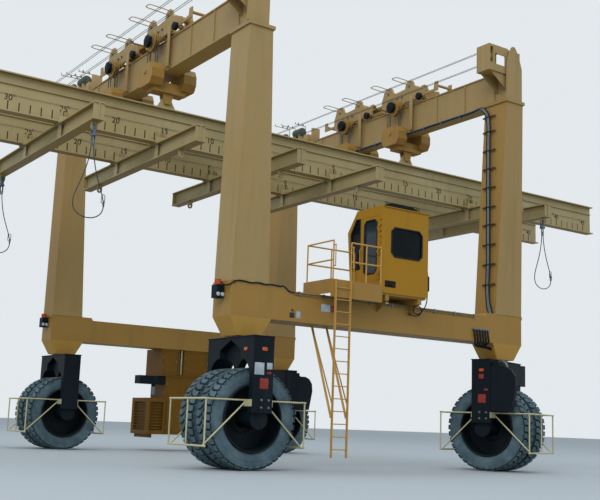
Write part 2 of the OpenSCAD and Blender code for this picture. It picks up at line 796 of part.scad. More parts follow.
// The rope falls between a trolley's sheaves and its load blocks.
module falls(sx) {
  x = sx * girder_x;
  rope_d = 26;
  z0 = block_z + block_h;
  dy = groove_r + rope_d / 2 + seat_gap;
  color(black)
    for (sy = [-1, 1], s = [-1, 1], d = [-1, 1], k = [-1, 1])
      bar([x + s * fall_x + k * 35, sy * hoist_y + d * dy, z0],
          [x + s * fall_x + k * 35, sy * hoist_y + d * dy, sheave_z], rope_d);
}

// The spreader's two long beams with stiffener strips and lifting lugs.
module spreader_beams() {
  color(paint_pale)
    for (sy = [-1, 1]) {
      y = sy * hoist_y;
      block([2 * beam_half, beam_web, beam_h - 2], [0, y, beam_z + 1]);
      for (z = [beam_z, beam_top - beam_flange])
        block([2 * beam_half, beam_w, beam_flange], [0, y, z]);
      block([2 * beam_half, 120, 24], [0, y, beam_z + beam_h * 0.72]);
      for (arm = ARMS, s = [-1, 1])
        plate_x(arm[0] * rule_foot + s * 90, 20)
          polygon([[y - beam_w / 2 + 20, beam_z + 1], [y + beam_w / 2 - 20, beam_z + 1],
                   [y + beam_w / 2 - 20, beam_z + 300], [y + 12, beam_z + 420],
                   [y - 12, beam_z + 420], [y - beam_w / 2 + 20, beam_z + 300]]);
      for (sx = [-1, 1])
        plate_y(y, lug_t)
          difference() {
            polygon([[sx * girder_x - 300, beam_top - 1], [sx * girder_x + 300, beam_top - 1],
                     [sx * girder_x + 100, lug_pin_z + 110], [sx * girder_x - 100, lug_pin_z + 110]]);
            translate([sx * girder_x, lug_pin_z]) circle(d = lug_bore);
          }
    }
}

ARMS = [ // place on the rule in feet, eyes' distance from the middle
  [-24.9, 3600], [-15.4, 2800], [-4.6, 2800], [4.85, 2800], [24.8, 3600], [29.3, 3600]
];

clamp_t = 30;
clamp_h = 190;

module cross_beams() {
  color(paint)
    for (arm = ARMS) {
      x = arm[0] * rule_foot;
      block([30, 2 * arm_y, arm_h - 2], [x, 0, arm_z + 1]);
      for (z = [arm_z, arm_z + arm_h - 30])
        block([arm_w, 2 * arm_y, 30], [x, 0, z]);
      for (sy = [-1, 1], s = [-1, 1]) {
        block([arm_w + 120, clamp_t, clamp_h],
              [x, sy * hoist_y + s * (beam_w / 2 + seat_gap + clamp_t / 2), arm_z + arm_h - 31]);
        block([120, 90, 90],
              [x, sy * hoist_y + s * (beam_w / 2 + seat_gap + clamp_t + 44), arm_z + arm_h - 1]);
        block([20, 200, arm_h - 58],
              [x + s * (arm_w / 2 - 60), sy * hoist_y, arm_z + 29]);
      }
      for (sy = [-1, 1])
        block([arm_w - 4, 16, arm_h - 58], [x, sy * (arm_y - 40), arm_z + 29]);
    }
}

// The eye plates under the cross beams' ends, where slings are shackled on.
eye_t = 40;
eye_w = 170;
eye_drop = 150;
eye_d = 64;
eye_z = arm_z - eye_drop;
shackle_drop = 220;

SLINGS = [ // place on the rule in feet, eye's distance from the middle along Y
  [-24.9, -3600], [29.3, -3600], [-24.9, 3600]
];

// The eyes, and the shackles with their ferrules on the eyes that hold a sling.
module sling_hooks() {
  color(steel)
    for (sling = SLINGS) {
      x = sling[0] * rule_foot;
      y = sling[1];
      rod_y(y - 75, y + 75, x, eye_z, eye_d + 8);
      for (s = [-1, 1])
        block([80, 30, 260], [x, y + s * 55, eye_z - 180]);
      block([130, 136, 60], [x, y, eye_z - shackle_drop]);
    }
  color(paint)
    for (arm = ARMS, sy = [-1, 1])
      plate_y(sy * arm[1], eye_t)
        translate([arm[0] * rule_foot, arm_z - eye_drop])
          difference() {
            union() {
              circle(d = eye_w);
              translate([-eye_w / 2, 0]) square([eye_w, eye_drop]);
            }
            circle(d = eye_d);
          }
}

// A hanging sling: an eight-sided tube swept along a route in the XZ plane.
sling_d = 28;
sling_sides = 8;
sling_steps = 4;
SLING_ROUTE = [ // along X from the shackle's middle, height under the shackle's ferrule
  [-30, 0], [-30, -260], [-60, -520], [-110, -770], [-180, -1020], [-270, -1260],
  [-360, -1500], [-420, -1740], [-360, -1970], [-140, -2100], [140, -2100], [360, -1970],
  [420, -1740], [360, -1500], [270, -1260], [180, -1020], [110, -770], [60, -520],
  [30, -260], [30, 0]
];

function slope(route, k) =
  let (a = route[max(k - 1, 0)], b = route[min(k + 1, len(route) - 1)]) (b - a) / 2;
function between(route, k, t) =
  let (a = route[k], b = route[k + 1], u = slope(route, k), v = slope(route, k + 1))
  a * (2 * t ^ 3 - 3 * t ^ 2 + 1) + u * (t ^ 3 - 2 * t ^ 2 + t) + b * (3 * t ^ 2 - 2 * t ^ 3)
  + v * (t ^ 3 - t ^ 2);
function sampled(route, steps) = [
  for (k = [0:len(route) - 2], i = [0:steps - 1]) between(route, k, i / steps),
  route[len(route) - 1]
];
function along(line, k) =
  let (v = line[min(k + 1, len(line) - 1)] - line[max(k - 1, 0)]) v / norm(v);
function level_ends(line, k) = k == 0 ? [0, -1] : k == len(line) - 1 ? [0, 1] : along(line, k);
function rings(line, r, sides) = [
  for (k = [0:len(line) - 1], j = [0:sides - 1])
    let (t = level_ends(line, k), a = 360 * j / sides)
    [line[k].x - r * cos(a) * t.y, r * sin(a), line[k].y + r * cos(a) * t.x]
];

module tube(line, r, sides) {
  n = len(line);
  polyhedron(
    points = rings(line, r, sides),
    faces = concat(
      [[for (j = [0:sides - 1]) j]],
      [for (k = [0:n - 2], j = [0:sides - 1])
        let (a = k * sides + j, b = k * sides + (j + 1) % sides) [a, a + sides, b]],
      [for (k = [0:n - 2], j = [0:sides - 1])
        let (a = k * sides + j, b = k * sides + (j + 1) % sides) [b, a + sides, b + sides]],
      [[for (j = [sides - 1:-1:0]) (n - 1) * sides + j]]));
}

module sling(at) {
  color(steel)
    translate([at[0] * rule_foot, at[1], eye_z - shackle_drop])
      tube(sampled(SLING_ROUTE, sling_steps), sling_d / 2, sling_sides);
}

// Lamp boxes with beacons on the left ends of both sills.
module corner_lamps() {
  x = -corner_x - block_l / 2;
  color(black)
    for (sy = [-1, 1]) {
      y = sy * side_y;
      block([40, 120, 160], [x - 20, y, sill_bottom + 480]);
      block([190, 260, 320], [x - 40 - 94, y, sill_bottom + 420]);
      translate([x - 134, y, sill_bottom + 739]) cylinder(d = 150, h = 131);
    }
}

sill(-1);  // sill_near
sill(1);  // sill_far
pivot_heads(-1);  // pivot_heads_near
pivot_heads(1);  // pivot_heads_far
leg(-1, -1);  // leg_near_left
leg(1, -1);  // leg_near_right
leg(-1, 1);  // leg_far_left
leg(1, 1);  // leg_far_right
girder(-1);  // girder_left
girder(1);  // girder_right
rope_head(-1);  // rope_head_left
rope_head(1);  // rope_head_right
winch(-1);  // winch_left
winch(1);  // winch_right
power_pack();
fuel_tank();
cab_shell();
cab_door();
cab_glass();
cab_seat();
cab_console();
cab_aircon();
platform();
handrail();
ladder();
fork(CORNERS[0]);  // fork_near_left
fork(CORNERS[1]);  // fork_near_right
fork(CORNERS[2]);  // fork_far_left
fork(CORNERS[3]);  // fork_far_right
guards(CORNERS[0]);  // guards_near_left
guards(CORNERS[1]);  // guards_near_right
guards(CORNERS[2]);  // guards_far_left
guards(CORNERS[3]);  // guards_far_right
rims(CORNERS[0]);  // rims_near_left
rims(CORNERS[1]);  // rims_near_right
rims(CORNERS[2]);  // rims_far_left
rims(CORNERS[3]);  // rims_far_right
tyres(CORNERS[0]);  // tyres_near_left
tyres(CORNERS[1]);  // tyres_near_right
tyres(CORNERS[2]);  // tyres_far_left
tyres(CORNERS[3]);  // tyres_far_right
trolley(-1);  // trolley_left
trolley(1);  // trolley_right
sheaves(-1);  // sheaves_left
sheaves(1);  // sheaves_right
blocks(-1);  // blocks_left
blocks(1);  // blocks_right
falls(-1);  // falls_left
falls(1);  // falls_right
spreader_beams();
cross_beams();
sling_hooks();
sling(SLINGS[0]);  // sling_near_left
sling(SLINGS[1]);  // sling_near_right
sling(SLINGS[2]);  // sling_far_left
corner_lamps();
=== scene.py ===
# %% [markdown]
# # A mobile gantry crane, dressed for its portrait
# The crane stands on four turning wheel sets, carries a long spreader under two upper
# girders, and is seen from low down beside its left wheels. The solids come from the
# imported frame; this lesson gives them paint, rubber, glass and the small fittings.

# %% The frame and the tools
import bpy
import bmesh
import json
import math
from mathutils import Matrix, Vector


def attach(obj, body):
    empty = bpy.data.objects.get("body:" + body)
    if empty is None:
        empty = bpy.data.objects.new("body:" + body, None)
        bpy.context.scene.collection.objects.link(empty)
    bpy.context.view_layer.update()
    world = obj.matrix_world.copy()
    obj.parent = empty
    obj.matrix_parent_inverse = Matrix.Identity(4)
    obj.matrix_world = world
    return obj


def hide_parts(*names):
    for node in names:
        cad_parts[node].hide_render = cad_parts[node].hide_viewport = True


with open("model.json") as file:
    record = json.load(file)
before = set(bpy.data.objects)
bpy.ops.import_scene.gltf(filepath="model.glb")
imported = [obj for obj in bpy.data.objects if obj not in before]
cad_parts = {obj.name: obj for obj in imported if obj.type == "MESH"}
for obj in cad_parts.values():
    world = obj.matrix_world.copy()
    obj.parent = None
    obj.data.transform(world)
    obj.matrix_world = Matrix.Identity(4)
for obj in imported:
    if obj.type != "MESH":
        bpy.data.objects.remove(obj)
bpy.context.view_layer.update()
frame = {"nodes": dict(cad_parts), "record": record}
nodes = frame["nodes"]

# %% Linking, selecting and joining
def linked(name, data):
    """Puts a camera, a lamp, a curve or a mesh into the scene as an object."""
    made = bpy.data.objects.new(name, data)
    bpy.context.scene.collection.objects.link(made)
    return made


def deselect():
    bpy.ops.object.select_all(action="DESELECT")


def pick(*objects):
    """Selects these objects only and makes the first one active."""
    deselect()
    for obj in objects:
        obj.select_set(True)
    bpy.context.view_layer.objects.active = objects[0]


def joined(*objects):
    """Joins the other objects into the first one."""
    pick(*objects)
    if len(objects) > 1:
        bpy.ops.object.join()
    return bpy.context.object

# %% [markdown]
# ## Camera
# The picture was taken from head height, well to the left of the crane, with a slightly
# long lens. The place and the turns were worked out from the evenly spaced marks on the
# spreader's beams, the ladder's rungs and the portal's corners. A camera can be turned by
# three angles in the panel, but a matrix built from its own three directions is exact, and
# each direction can be read here as a plain arrow.

# %% Camera
IMAGE_W = 600
FOCAL_PX = 976.14
yaw, pitch, roll = 0.5989, 0.1761, 0.0369
eye = Vector((-16.574, -26.172, 1.116))

ahead = Vector((math.sin(yaw) * math.cos(pitch), math.cos(yaw) * math.cos(pitch),
                math.sin(pitch)))
level = Vector((math.cos(yaw), -math.sin(yaw), 0.0))
above = level.cross(ahead)
right = level * math.cos(roll) + above * math.sin(roll)
up = above * math.cos(roll) - level * math.sin(roll)

camera = bpy.data.cameras.new("Camera")
camera.sensor_width = 36.0
camera.lens = FOCAL_PX / IMAGE_W * camera.sensor_width
camera.clip_end = 500.0
camera_object = linked("Camera", camera)
turn = Matrix((right, up, -ahead)).transposed().to_4x4()
camera_object.matrix_world = Matrix.Translation(eye) @ turn
bpy.context.scene.camera = camera_object
print("lens", round(camera.lens, 2), "mm")

# %% [markdown]
# ## Slings
# Three wire-rope slings hang loose from shackles at the spreader's ends. Each is one long
# loop: both legs leave the ferrule, bow apart and come together in a round bottom. Stiff
# wire rope keeps such a shape by itself, so no cloth or rope simulation is needed: a NURBS
# curve with a round bevel follows the points smoothly and never kinks. The slings ride the
# spreader, and each stands in for the solid sling of the frame.

# %% Three slings
FT = 0.3048
SLING_TOP = 8.055
SLING_D = 0.028
LEG_GAP = 0.030      # half the space between the two legs where they leave the ferrule
SLING_PLACES = {"near_left": (-24.9 * FT, -3.6), "near_right": (29.3 * FT, -3.6),
                "far_left": (-24.9 * FT, 3.6)}
# the loop's left half in its own plane: along the spreader, height under the ferrule
SLING_HALF = [(-0.030, 0.000), (-0.030, -0.260), (-0.060, -0.520), (-0.110, -0.770),
              (-0.180, -1.020), (-0.270, -1.260), (-0.360, -1.500), (-0.420, -1.740),
              (-0.360, -1.970), (-0.140, -2.100)]
SLING_ROUTE = SLING_HALF + [(-dx, dz) for dx, dz in reversed(SLING_HALF)]
slings = {}
for where, (x, y) in SLING_PLACES.items():
    curve = bpy.data.curves.new("rope_sling_" + where, "CURVE")
    curve.dimensions = "3D"
    curve.bevel_depth = SLING_D / 2
    curve.bevel_resolution = 2
    curve.use_fill_caps = True
    line = curve.splines.new("NURBS")
    line.points.add(len(SLING_ROUTE) - 1)
    for knot, (dx, dz) in zip(line.points, SLING_ROUTE):
        knot.co = (x + dx, y, SLING_TOP + dz, 1.0)
    line.order_u = 3
    line.use_endpoint_u = True
    line.resolution_u = 4
    rope = linked("rope_sling_" + where, curve)
    slings[where] = rope
    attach(rope, "hoist_left")
    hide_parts("sling_" + where)
print("slings:", ", ".join(slings))

# %% [markdown]
# ## Floor, sky and lamps
# An overcast sky gives an even light from above with hardly a shadow. A big pale floor, a
# pale world and two very wide area lamps do the same here. A sky picture would do it too,
# but plain colours are quicker and stay the same on each run. The backdrop is made white
# for the camera, and for mirror-like rays, by Light Path and not by more light.

# %% Colour from hex
def linear(hex_code):
    """An sRGB hex value such as 'C8A040' as linear red, green, blue and alpha."""
    parts = [int(hex_code[i:i + 2], 16) / 255.0 for i in (0, 2, 4)]
    return [p / 12.92 if p <= 0.04045 else ((p + 0.055) / 1.055) ** 2.4 for p in parts] + [1.0]


def add(tree, kind, settings=(), links=(), **values):
    """One node with attribute settings, input values and links from other outputs."""
    made = tree.nodes.new("ShaderNode" + kind)
    for key, value in dict(settings).items():
        setattr(made, key, value)
    for key, value in values.items():
        made.inputs[key.replace("_", " ")].default_value = value
    for key, source in dict(links).items():
        tree.links.new(source, made.inputs[key])
    return made


def painted(name, **values):
    """A new material, its node tree and its shader, with some of the shader's values."""
    mat = bpy.data.materials.new(name)
    mat.use_nodes = True
    shader = mat.node_tree.nodes["Principled BSDF"]
    for key, value in values.items():
        shader.inputs[key.replace("_", " ")].default_value = value
    return mat, mat.node_tree, shader


SMOOTH = {"interpolation_type": "SMOOTHSTEP"}
COLOURS = {"data_type": "RGBA"}

# %% Floor and world
deselect()
bpy.ops.mesh.primitive_plane_add(size=400, location=(0, 0, 0))
floor = bpy.context.object
floor.name = "floor"

paving = painted("pale_paving", Base_Color=linear("A9B2B8"), Roughness=0.9)[0]
floor.data.materials.append(paving)

world = bpy.data.worlds.new("overcast")
bpy.context.scene.world = world
world.use_nodes = True
tree = world.node_tree
for old in list(tree.nodes):
    tree.nodes.remove(old)
rays = add(tree, "LightPath")
seen = add(tree, "Math", {"operation": "MAXIMUM"},
           {0: rays.outputs["Is Camera Ray"], 1: rays.outputs["Is Glossy Ray"]})
seen = add(tree, "Math", {"operation": "MAXIMUM"},
           {0: seen.outputs[0], 1: rays.outputs["Is Transmission Ray"]})
sky = add(tree, "Background", Color=linear("E3E9EC"), Strength=1.0)
light = add(tree, "Background", Color=linear("E9F1F6"), Strength=0.75)
mixed = add(tree, "MixShader",
            links={0: seen.outputs[0], 1: light.outputs[0], 2: sky.outputs[0]})
add(tree, "OutputWorld", links={"Surface": mixed.outputs[0]})
bpy.context.scene.view_settings.view_transform = "Standard"

# %% Lamps
def lamp(name, place, target, size, power, tint):
    data = bpy.data.lights.new(name, "AREA")
    data.size = size
    data.energy = power
    data.color = linear(tint)[:3]
    made = linked(name, data)
    made.location = place
    aim = Vector(target) - Vector(place)
    made.rotation_euler = aim.to_track_quat("-Z", "Y").to_euler()


lamp("sky_left", (-34, -30, 34), (0, -2, 6), 26, 9000, "FFFFFF")
lamp("sky_top", (6, 4, 46), (0, 0, 6), 34, 7000, "F4F8FF")

# %% [markdown]
# ## Enamel on steel
# The whole portal is welded steel plate under alkyd enamel. Such paint chalks where the sun
# reaches it, runs dirt down in streaks, and shows a faint orange peel. Faces turned up are
# painted paler, partly for that chalking and partly as painted light, and the undersides keep
# the full yellow as painted shade. It could be painted by hand on a picture, but noise in
# real sizes covers every side alike. One function mixes those layers, so that each paint
# differs only in its colours and in how weathered it is.

# %% Weathered enamel
STREAK_M = 0.28      # streaks of washed-down dirt are a forearm or so apart
PEEL_M = 0.030       # orange peel, drawn ten times as coarse as it is, to show at all
PATCH_M = 1.8        # chalked patches change over a metre or two


def enamel(name, full, chalked_and_lit, dirt, chalking=0.6, dirty=0.35, rough=0.5, gloss=0.4,
           left_shade=0.0):
    """A weathered enamel: full colour below as painted shade, paler above partly as painted
    light and partly as sun chalking, streaked with dirt.

    left_shade says how far the faces towards -X keep their full colour too: painted shade on
    those faces.
    """
    mat, tree, shader = painted(name, Specular_IOR_Level=gloss)
    where = add(tree, "TexCoord")
    place = where.outputs["Object"]
    # Face direction picks the colour: paler on faces turned up, partly sun chalking and partly
    # painted light; full on faces turned down, painted shade; left_shade adds painted shade
    # towards -X.
    facing = add(tree, "SeparateXYZ", links={0: where.outputs["Normal"]})
    lit = add(tree, "Math", {"operation": "MULTIPLY_ADD", "use_clamp": False},
              {0: facing.outputs["X"], 2: facing.outputs["Z"]})
    lit.inputs[1].default_value = left_shade
    chalk_and_light_mask = add(tree, "MapRange", SMOOTH, {"Value": lit.outputs[0]}, From_Min=-0.7,
                From_Max=0.35)
    patch = add(tree, "TexNoise", links={"Vector": place}, Scale=1.0 / PATCH_M, Detail=5.0,
                Roughness=0.55)
    uneven = add(tree, "MapRange", links={"Value": patch.outputs["Fac"]}, From_Min=0.3,
                 From_Max=0.7, To_Min=1.0 - chalking * 0.5, To_Max=1.0)
    amount = add(tree, "Math", {"operation": "MULTIPLY"},
                 {0: chalk_and_light_mask.outputs[0], 1: uneven.outputs[0]})
    coat = add(tree, "Mix", COLOURS, {"Factor": amount.outputs[0]}, A=linear(full),
               B=linear(chalked_and_lit))
    stretched = add(tree, "Mapping", links={"Vector": place},
                    Scale=(1.0 / STREAK_M, 1.0 / STREAK_M, 0.35))
    runs = add(tree, "TexNoise", links={"Vector": stretched.outputs[0]}, Scale=1.0, Detail=4.0,
               Roughness=0.65)
    grime = add(tree, "MapRange", SMOOTH, {"Value": runs.outputs["Fac"]}, From_Min=0.47,
                From_Max=0.78, To_Max=dirty)
    fine = add(tree, "TexNoise", links={"Vector": place}, Scale=9.0, Detail=8.0, Roughness=0.7)
    spots = add(tree, "MapRange", SMOOTH, {"Value": fine.outputs["Fac"]}, From_Min=0.55,
                From_Max=0.8, To_Max=dirty * 0.8)
    soil = add(tree, "Math", {"operation": "MAXIMUM"},
               {0: grime.outputs[0], 1: spots.outputs[0]})
    colour = add(tree, "Mix", COLOURS,
                 {"Factor": soil.outputs[0], "A": coat.outputs["Result"]}, B=linear(dirt))
    tree.links.new(colour.outputs["Result"], shader.inputs["Base Color"])
    sheen = add(tree, "MapRange", links={"Value": fine.outputs["Fac"]}, To_Min=rough - 0.1,
                To_Max=rough + 0.2)
    tree.links.new(sheen.outputs[0], shader.inputs["Roughness"])
    peel = add(tree, "TexNoise", links={"Vector": place}, Scale=1.0 / PEEL_M, Detail=2.0)
    raised = add(tree, "Bump", links={"Height": peel.outputs["Fac"]}, Strength=0.15,
                 Distance=0.002)
    tree.links.new(raised.outputs[0], shader.inputs["Normal"])
    return mat


# Alkyd enamel on the portal, brushed on steel plate: outdoors for years, it has faded by
# chalking to a matt sand colour, paler still on its faces turned up as painted light, and its
# ochre lives on underneath, as painted shade, and in the streaks.
pale_enamel = enamel("sun_bleached_and_lit_ochre_enamel", "9C7838", "A69064", "6A5C3C", dirty=0.24)
# The same enamel on the three legs whose left faces get no sun: those faces keep more of
# their ochre, as painted shade.
leg_enamel = enamel("left_shaded_ochre_enamel", "9A722C", "A68E60", "6A5C3C", dirty=0.24,
                    left_shade=0.42)
# The spreader has its own older coat, rolled on: a greenish khaki gone flat, dirt in its
# streaks; its faces turned up are painted much paler, partly chalking and partly painted
# light, and its undersides keep a deep ochre as painted shade.
khaki_enamel = enamel("rolled_khaki_enamel", "886A2C", "BDB187", "736A4A", dirty=0.2)
# Sprayed ochre enamel on the sills and blocks, washed by rain: fuller and a little glossier.
deep_enamel = enamel("sprayed_ochre_enamel", "94691F", "A27F3E", "5A4A2C", chalking=0.5,
                     dirty=0.26)
# The pivot heads were painted last, after welding, so they are cleaner and lighter.
head_enamel = enamel("pivot_head_enamel", "B08228", "B8944A", "6A5A38", chalking=0.5,
                     dirty=0.2)
# Two-part blue-black enamel, sprayed on the forks: deep and even, a little lighter on its
# top faces as painted light.
black_enamel = enamel("blue_black_enamel", "0A1217", "121C23", "2C3840", dirty=0.3,
                      rough=0.5, gloss=0.12)
# Cream gloss brushed on the guards' tubes, scuffed and spotted by wheel dirt.
cream_enamel = enamel("cream_enamel", "B3AB7E", "C9C39C", "6F6C55", dirty=0.5)
# Blue-black again, on the pressed rims, greyed by brake dust in the disc's hollow.
rim_enamel = enamel("rim_enamel", "0A1014", "151E24", "273138", dirty=0.4, rough=0.5,
                    gloss=0.12)
# Ochre dip paint on the hand rails and the ladder, painted paler on its faces turned up as
# painted light.
rail_enamel = enamel("dipped_rail_enamel", "B5873A", "C59A50", "7A6236", dirty=0.2)
# Stoved amber enamel on the cab's folded sheet: smooth and bright, with a soft shine.
cab_enamel = enamel("stoved_amber_enamel", "9C700A", "A97A14", "5A4416", chalking=0.3,
                    dirty=0.15, rough=0.45, gloss=0.25)
# The engine house has the cab's amber, painted dark and dull as painted shade for the
# shadow it stands in, with dirt run down it in streaks.
shaded_engine_enamel = enamel("shade_darkened_amber_enamel", "6A4A10", "755214", "33290F", chalking=0.3,
                       dirty=0.3, gloss=0.15)

# %% [markdown]
# ## Rubber, glass and bare metal
# These surfaces have no weather side, but none of them is one flat colour: rubber blooms,
# zinc flowers, rope glints. Two close tones are mixed by noise of the real blotch size, and
# the same noise moves the shine a little, which is what makes a plain surface look real.

# %% Rubber, glass, steel
def plain(name, colour, worn, size, rough, metal=0.0, spread=0.2, gloss=0.4):
    """A material with one uneven tone: two colours mixed by noise of a real size."""
    mat, tree, shader = painted(name, Metallic=metal, Specular_IOR_Level=gloss)
    where = add(tree, "TexCoord")
    noise = add(tree, "TexNoise", links={"Vector": where.outputs["Object"]}, Scale=1.0 / size,
                Detail=7.0, Roughness=0.65)
    level = add(tree, "MapRange", SMOOTH, {"Value": noise.outputs["Fac"]}, From_Min=0.35,
                From_Max=0.7)
    mix = add(tree, "Mix", COLOURS, {"Factor": level.outputs[0]}, A=linear(colour),
              B=linear(worn))
    tree.links.new(mix.outputs["Result"], shader.inputs["Base Color"])
    sheen = add(tree, "MapRange", links={"Value": noise.outputs["Fac"]},
                To_Min=rough - spread / 2, To_Max=rough + spread)
    tree.links.new(sheen.outputs[0], shader.inputs["Roughness"])
    raised = add(tree, "Bump", links={"Height": noise.outputs["Fac"]}, Strength=0.25,
                 Distance=0.004)
    tree.links.new(raised.outputs[0], shader.inputs["Normal"])
    return mat


# Moulded tyre rubber, dusted blue-grey by the yard: matt, in blotches half a metre wide.
tyre_rubber = plain("dusty_tyre_rubber", "43565E", "60767F", 0.50, 0.85)
# The same rubber down in the tread's grooves: nearly black as painted shade in the hollows
# between the lugs, with 0.2 m blotches.
groove_shade_rubber = plain("dark_groove_rubber", "1C272C", "2E3B41", 0.20, 0.9, gloss=0.2)
# Laid steel wires under thick grease: dark metal with glints 50 mm apart.
wire_steel = plain("greased_wire_rope", "2A2E31", "5B6064", 0.05, 0.45, metal=0.8)
# Embossed vinyl over foam, a 30 mm mottle that breaks the shine.
vinyl = plain("embossed_seat_vinyl", "121315", "26282B", 0.03, 0.55)
# Float glass in the cab, opaque and painted near black as painted shade for the dim cab
# behind it: smooth, it shows only a dim sky.
shade_dark_cab_pane = plain("shade_dark_safety_glass", "060E12", "0C171C", 0.9, 0.06, spread=0.02,
                 gloss=0.1)
# The door's pane is float glass, painted a little lighter and bluer as painted light for the
# light from behind that comes through it.
backlit_door_glass = plain("grey_door_glass", "1A2A33", "253840", 0.9, 0.06, spread=0.02,
                   gloss=0.3)
# Zinc-plated steel, passivated and weathered: dull silver with a 30 mm flower.
zinc = plain("zinc_plated_steel", "5F676B", "8C9599", 0.03, 0.42, metal=0.75)
# Drop-forged, hot-dip galvanised shackles: bluish silver, blotched every 40 mm.
forged_steel = plain("galvanised_forged_steel", "3C4856", "8894A4", 0.04, 0.45, metal=0.5)
# Extruded rubber hose cover: satin black, greyed in 50 mm patches.
hose_rubber = plain("black_hose_rubber", "0F1518", "22292D", 0.05, 0.62, gloss=0.2)
# Extruded sponge rubber round the panes: matt black. Drawn round the engine house's
# doors too, as painted shade in their gaps.
gasket_rubber_and_gap_shade = plain("window_gasket_rubber", "0C1012", "1B2124", 0.04, 0.7)
# Woven steel braid on the pressure hoses: a 12 mm flicker of light and dark.
braid = plain("braided_steel_hose", "59646A", "8A969C", 0.012, 0.45, metal=0.5)
# Conduit brushed over with leftover khaki, 0.2 m patches, half matt.
grey_conduit = plain("painted_conduit", "7A6A45", "8F825F", 0.20, 0.55)
# Red reflective film, rolled on to pressed plate: bright with a satin face.
red_sheet = plain("red_reflective_sheet", "7E2418", "9C3423", 0.06, 0.40)
# Injection-moulded amber lens: smooth, glossy and deep in colour.
amber = plain("amber_lens", "B4480F", "CC5A18", 0.05, 0.22, spread=0.05)
# White vitreous enamel on the plates, dulled to a cool grey in 0.15 m patches.
white_sign = plain("white_sign_enamel", "9AA6AE", "B4BEC3", 0.15, 0.5)
# Pressed lamp glass: pale and glossy.
lamp_glass = plain("lamp_glass", "AEBBC2", "CCD5D8", 0.05, 0.12, spread=0.04)
# Hammered machine enamel on the winch motors: grey-green, pebbled every 20 mm.
motor_enamel = plain("hammered_grey_green_enamel", "343E34", "566054", 0.02, 0.5, gloss=0.3)
# Printed label film, dark and half matt.
dark_mark = plain("dark_label_film", "1A2024", "2C3337", 0.06, 0.5)
# Brown paint put on through a stencil: thin and quite matt, worn through in 0.1 m patches.
stencil = plain("brown_stencil_paint", "33291A", "4A3D26", 0.10, 0.75, gloss=0.2)

# %% Which finish goes on which solid
# Each solid gets the finish of its slot in the record, unless it has one of its own.
FINISH = {
    "pale_paint": pale_enamel, "deep_paint": deep_enamel, "black_paint": black_enamel,
    "guard_paint": cream_enamel, "tyre_rubber": tyre_rubber, "wire_rope": wire_steel,
    # The cab's panes are painted near black as painted shade.
    "black_trim": vinyl, "cab_glass": shade_dark_cab_pane,
}
for rope in slings.values():
    rope.data.materials.append(wire_steel)
# The power pack's enamel is darkened as painted shade.
OWN = {"cab_shell": cab_enamel, "cab_door": cab_enamel, "power_pack": shaded_engine_enamel,
       "handrail": rail_enamel, "ladder": rail_enamel, "cross_beams": khaki_enamel,
       "spreader_beams": khaki_enamel, "sling_hooks": khaki_enamel,
       "pivot_heads_near": head_enamel, "pivot_heads_far": head_enamel,
       # Three legs carry painted shade on their left faces.
       "leg_near_right": leg_enamel, "leg_far_left": leg_enamel,
       "leg_far_right": leg_enamel}
for corner in ("near_left", "near_right", "far_left", "far_right"):
    OWN["rims_" + corner] = rim_enamel
for row in frame["record"]["subparts"]:
    solid = nodes[row["node"]]
    finish = OWN.get(row["node"], FINISH[row["material_slot"]])
    if not solid.material_slots:
        solid.data.materials.append(finish)
    for held in solid.material_slots:
        held.material = finish

# %% Galvanised shackles on the painted eye plates
EYE_T = 0.040        # the eye plate's thickness: the shackle's cheeks stand outside it
EYE_FOOT = 8.12      # under this height there is shackle only
NEARBY = 0.09        # half the width of a shackle
hooks = nodes["sling_hooks"]
hooks.data.materials.append(forged_steel)
shackle_faces = 0
for face in hooks.data.polygons:
    spot = hooks.matrix_world @ face.center
    for x, y in SLING_PLACES.values():
        close_by = abs(spot.x - x) < NEARBY and abs(spot.y - y) < NEARBY
        if close_by and (abs(spot.y - y) > EYE_T / 2 + 0.001 or spot.z < EYE_FOOT):
            face.material_index = len(hooks.data.materials) - 1
            shackle_faces += 1
print("faces of the shackles:", shackle_faces)

# %% [markdown]
# ## Helpers for the fittings
# Most fittings start as one small piece at the origin. It is modelled there, copied to each
# of its places, and the copies of one kind on one body become one mesh. An array modifier
# would serve for even rows only, while a list of places serves for all. A finished piece
# keeps its place in its mesh, so its own origin, turn and size stay plain.

# %% Placing and joining
STEER_X, STEER_Y = 4.36, 5.88    # the steering axes, from the crane's middle
GIRDER_X = 4.572                 # the girders, 15 feet from the middle
CORNERS = {
    "near_left": (-STEER_X, -STEER_Y, 0), "near_right": (STEER_X, -STEER_Y, -70),
    "far_left": (-STEER_X, STEER_Y, 0), "far_right": (STEER_X, STEER_Y, 0),
}
SIDES = ((-1, "left"), (1, "right"))
GIRDERS = ((-GIRDER_X, "left"), (GIRDER_X, "right"))
AXLE_Z = 1.19
TWIN_Y = 0.42                    # from a pair's middle to the middle of each tyre


def at(x, y, z, turn=(0, 0, 0)):
    """A place and a turn in degrees about X, Y and Z."""
    a, b, c = (math.radians(t) for t in turn)
    return (Matrix.Translation((x, y, z)) @ Matrix.Rotation(c, 4, "Z")
            @ Matrix.Rotation(b, 4, "Y") @ Matrix.Rotation(a, 4, "X"))


def corner_place(name):
    x, y, turn = CORNERS[name]
    return at(x, y, 0, (0, 0, turn))


def around(count, radius):
    """Points at even steps round a circle."""
    turns = [math.tau * k / count for k in range(count)]
    return [(radius * math.cos(angle), radius * math.sin(angle)) for angle in turns]


def finished(obj, name, finish, body, smooth=35):
    """Names a piece, puts its place into its mesh, and gives it its paint and its body."""
    pick(obj)
    bpy.ops.object.transform_apply(location=True, rotation=True, scale=True)
    obj.name = name
    obj.data.name = name
    obj.data.materials.clear()
    obj.data.materials.append(finish)
    if smooth:
        bpy.ops.object.shade_smooth_by_angle(angle=math.radians(smooth))
    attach(obj, body)
    return obj


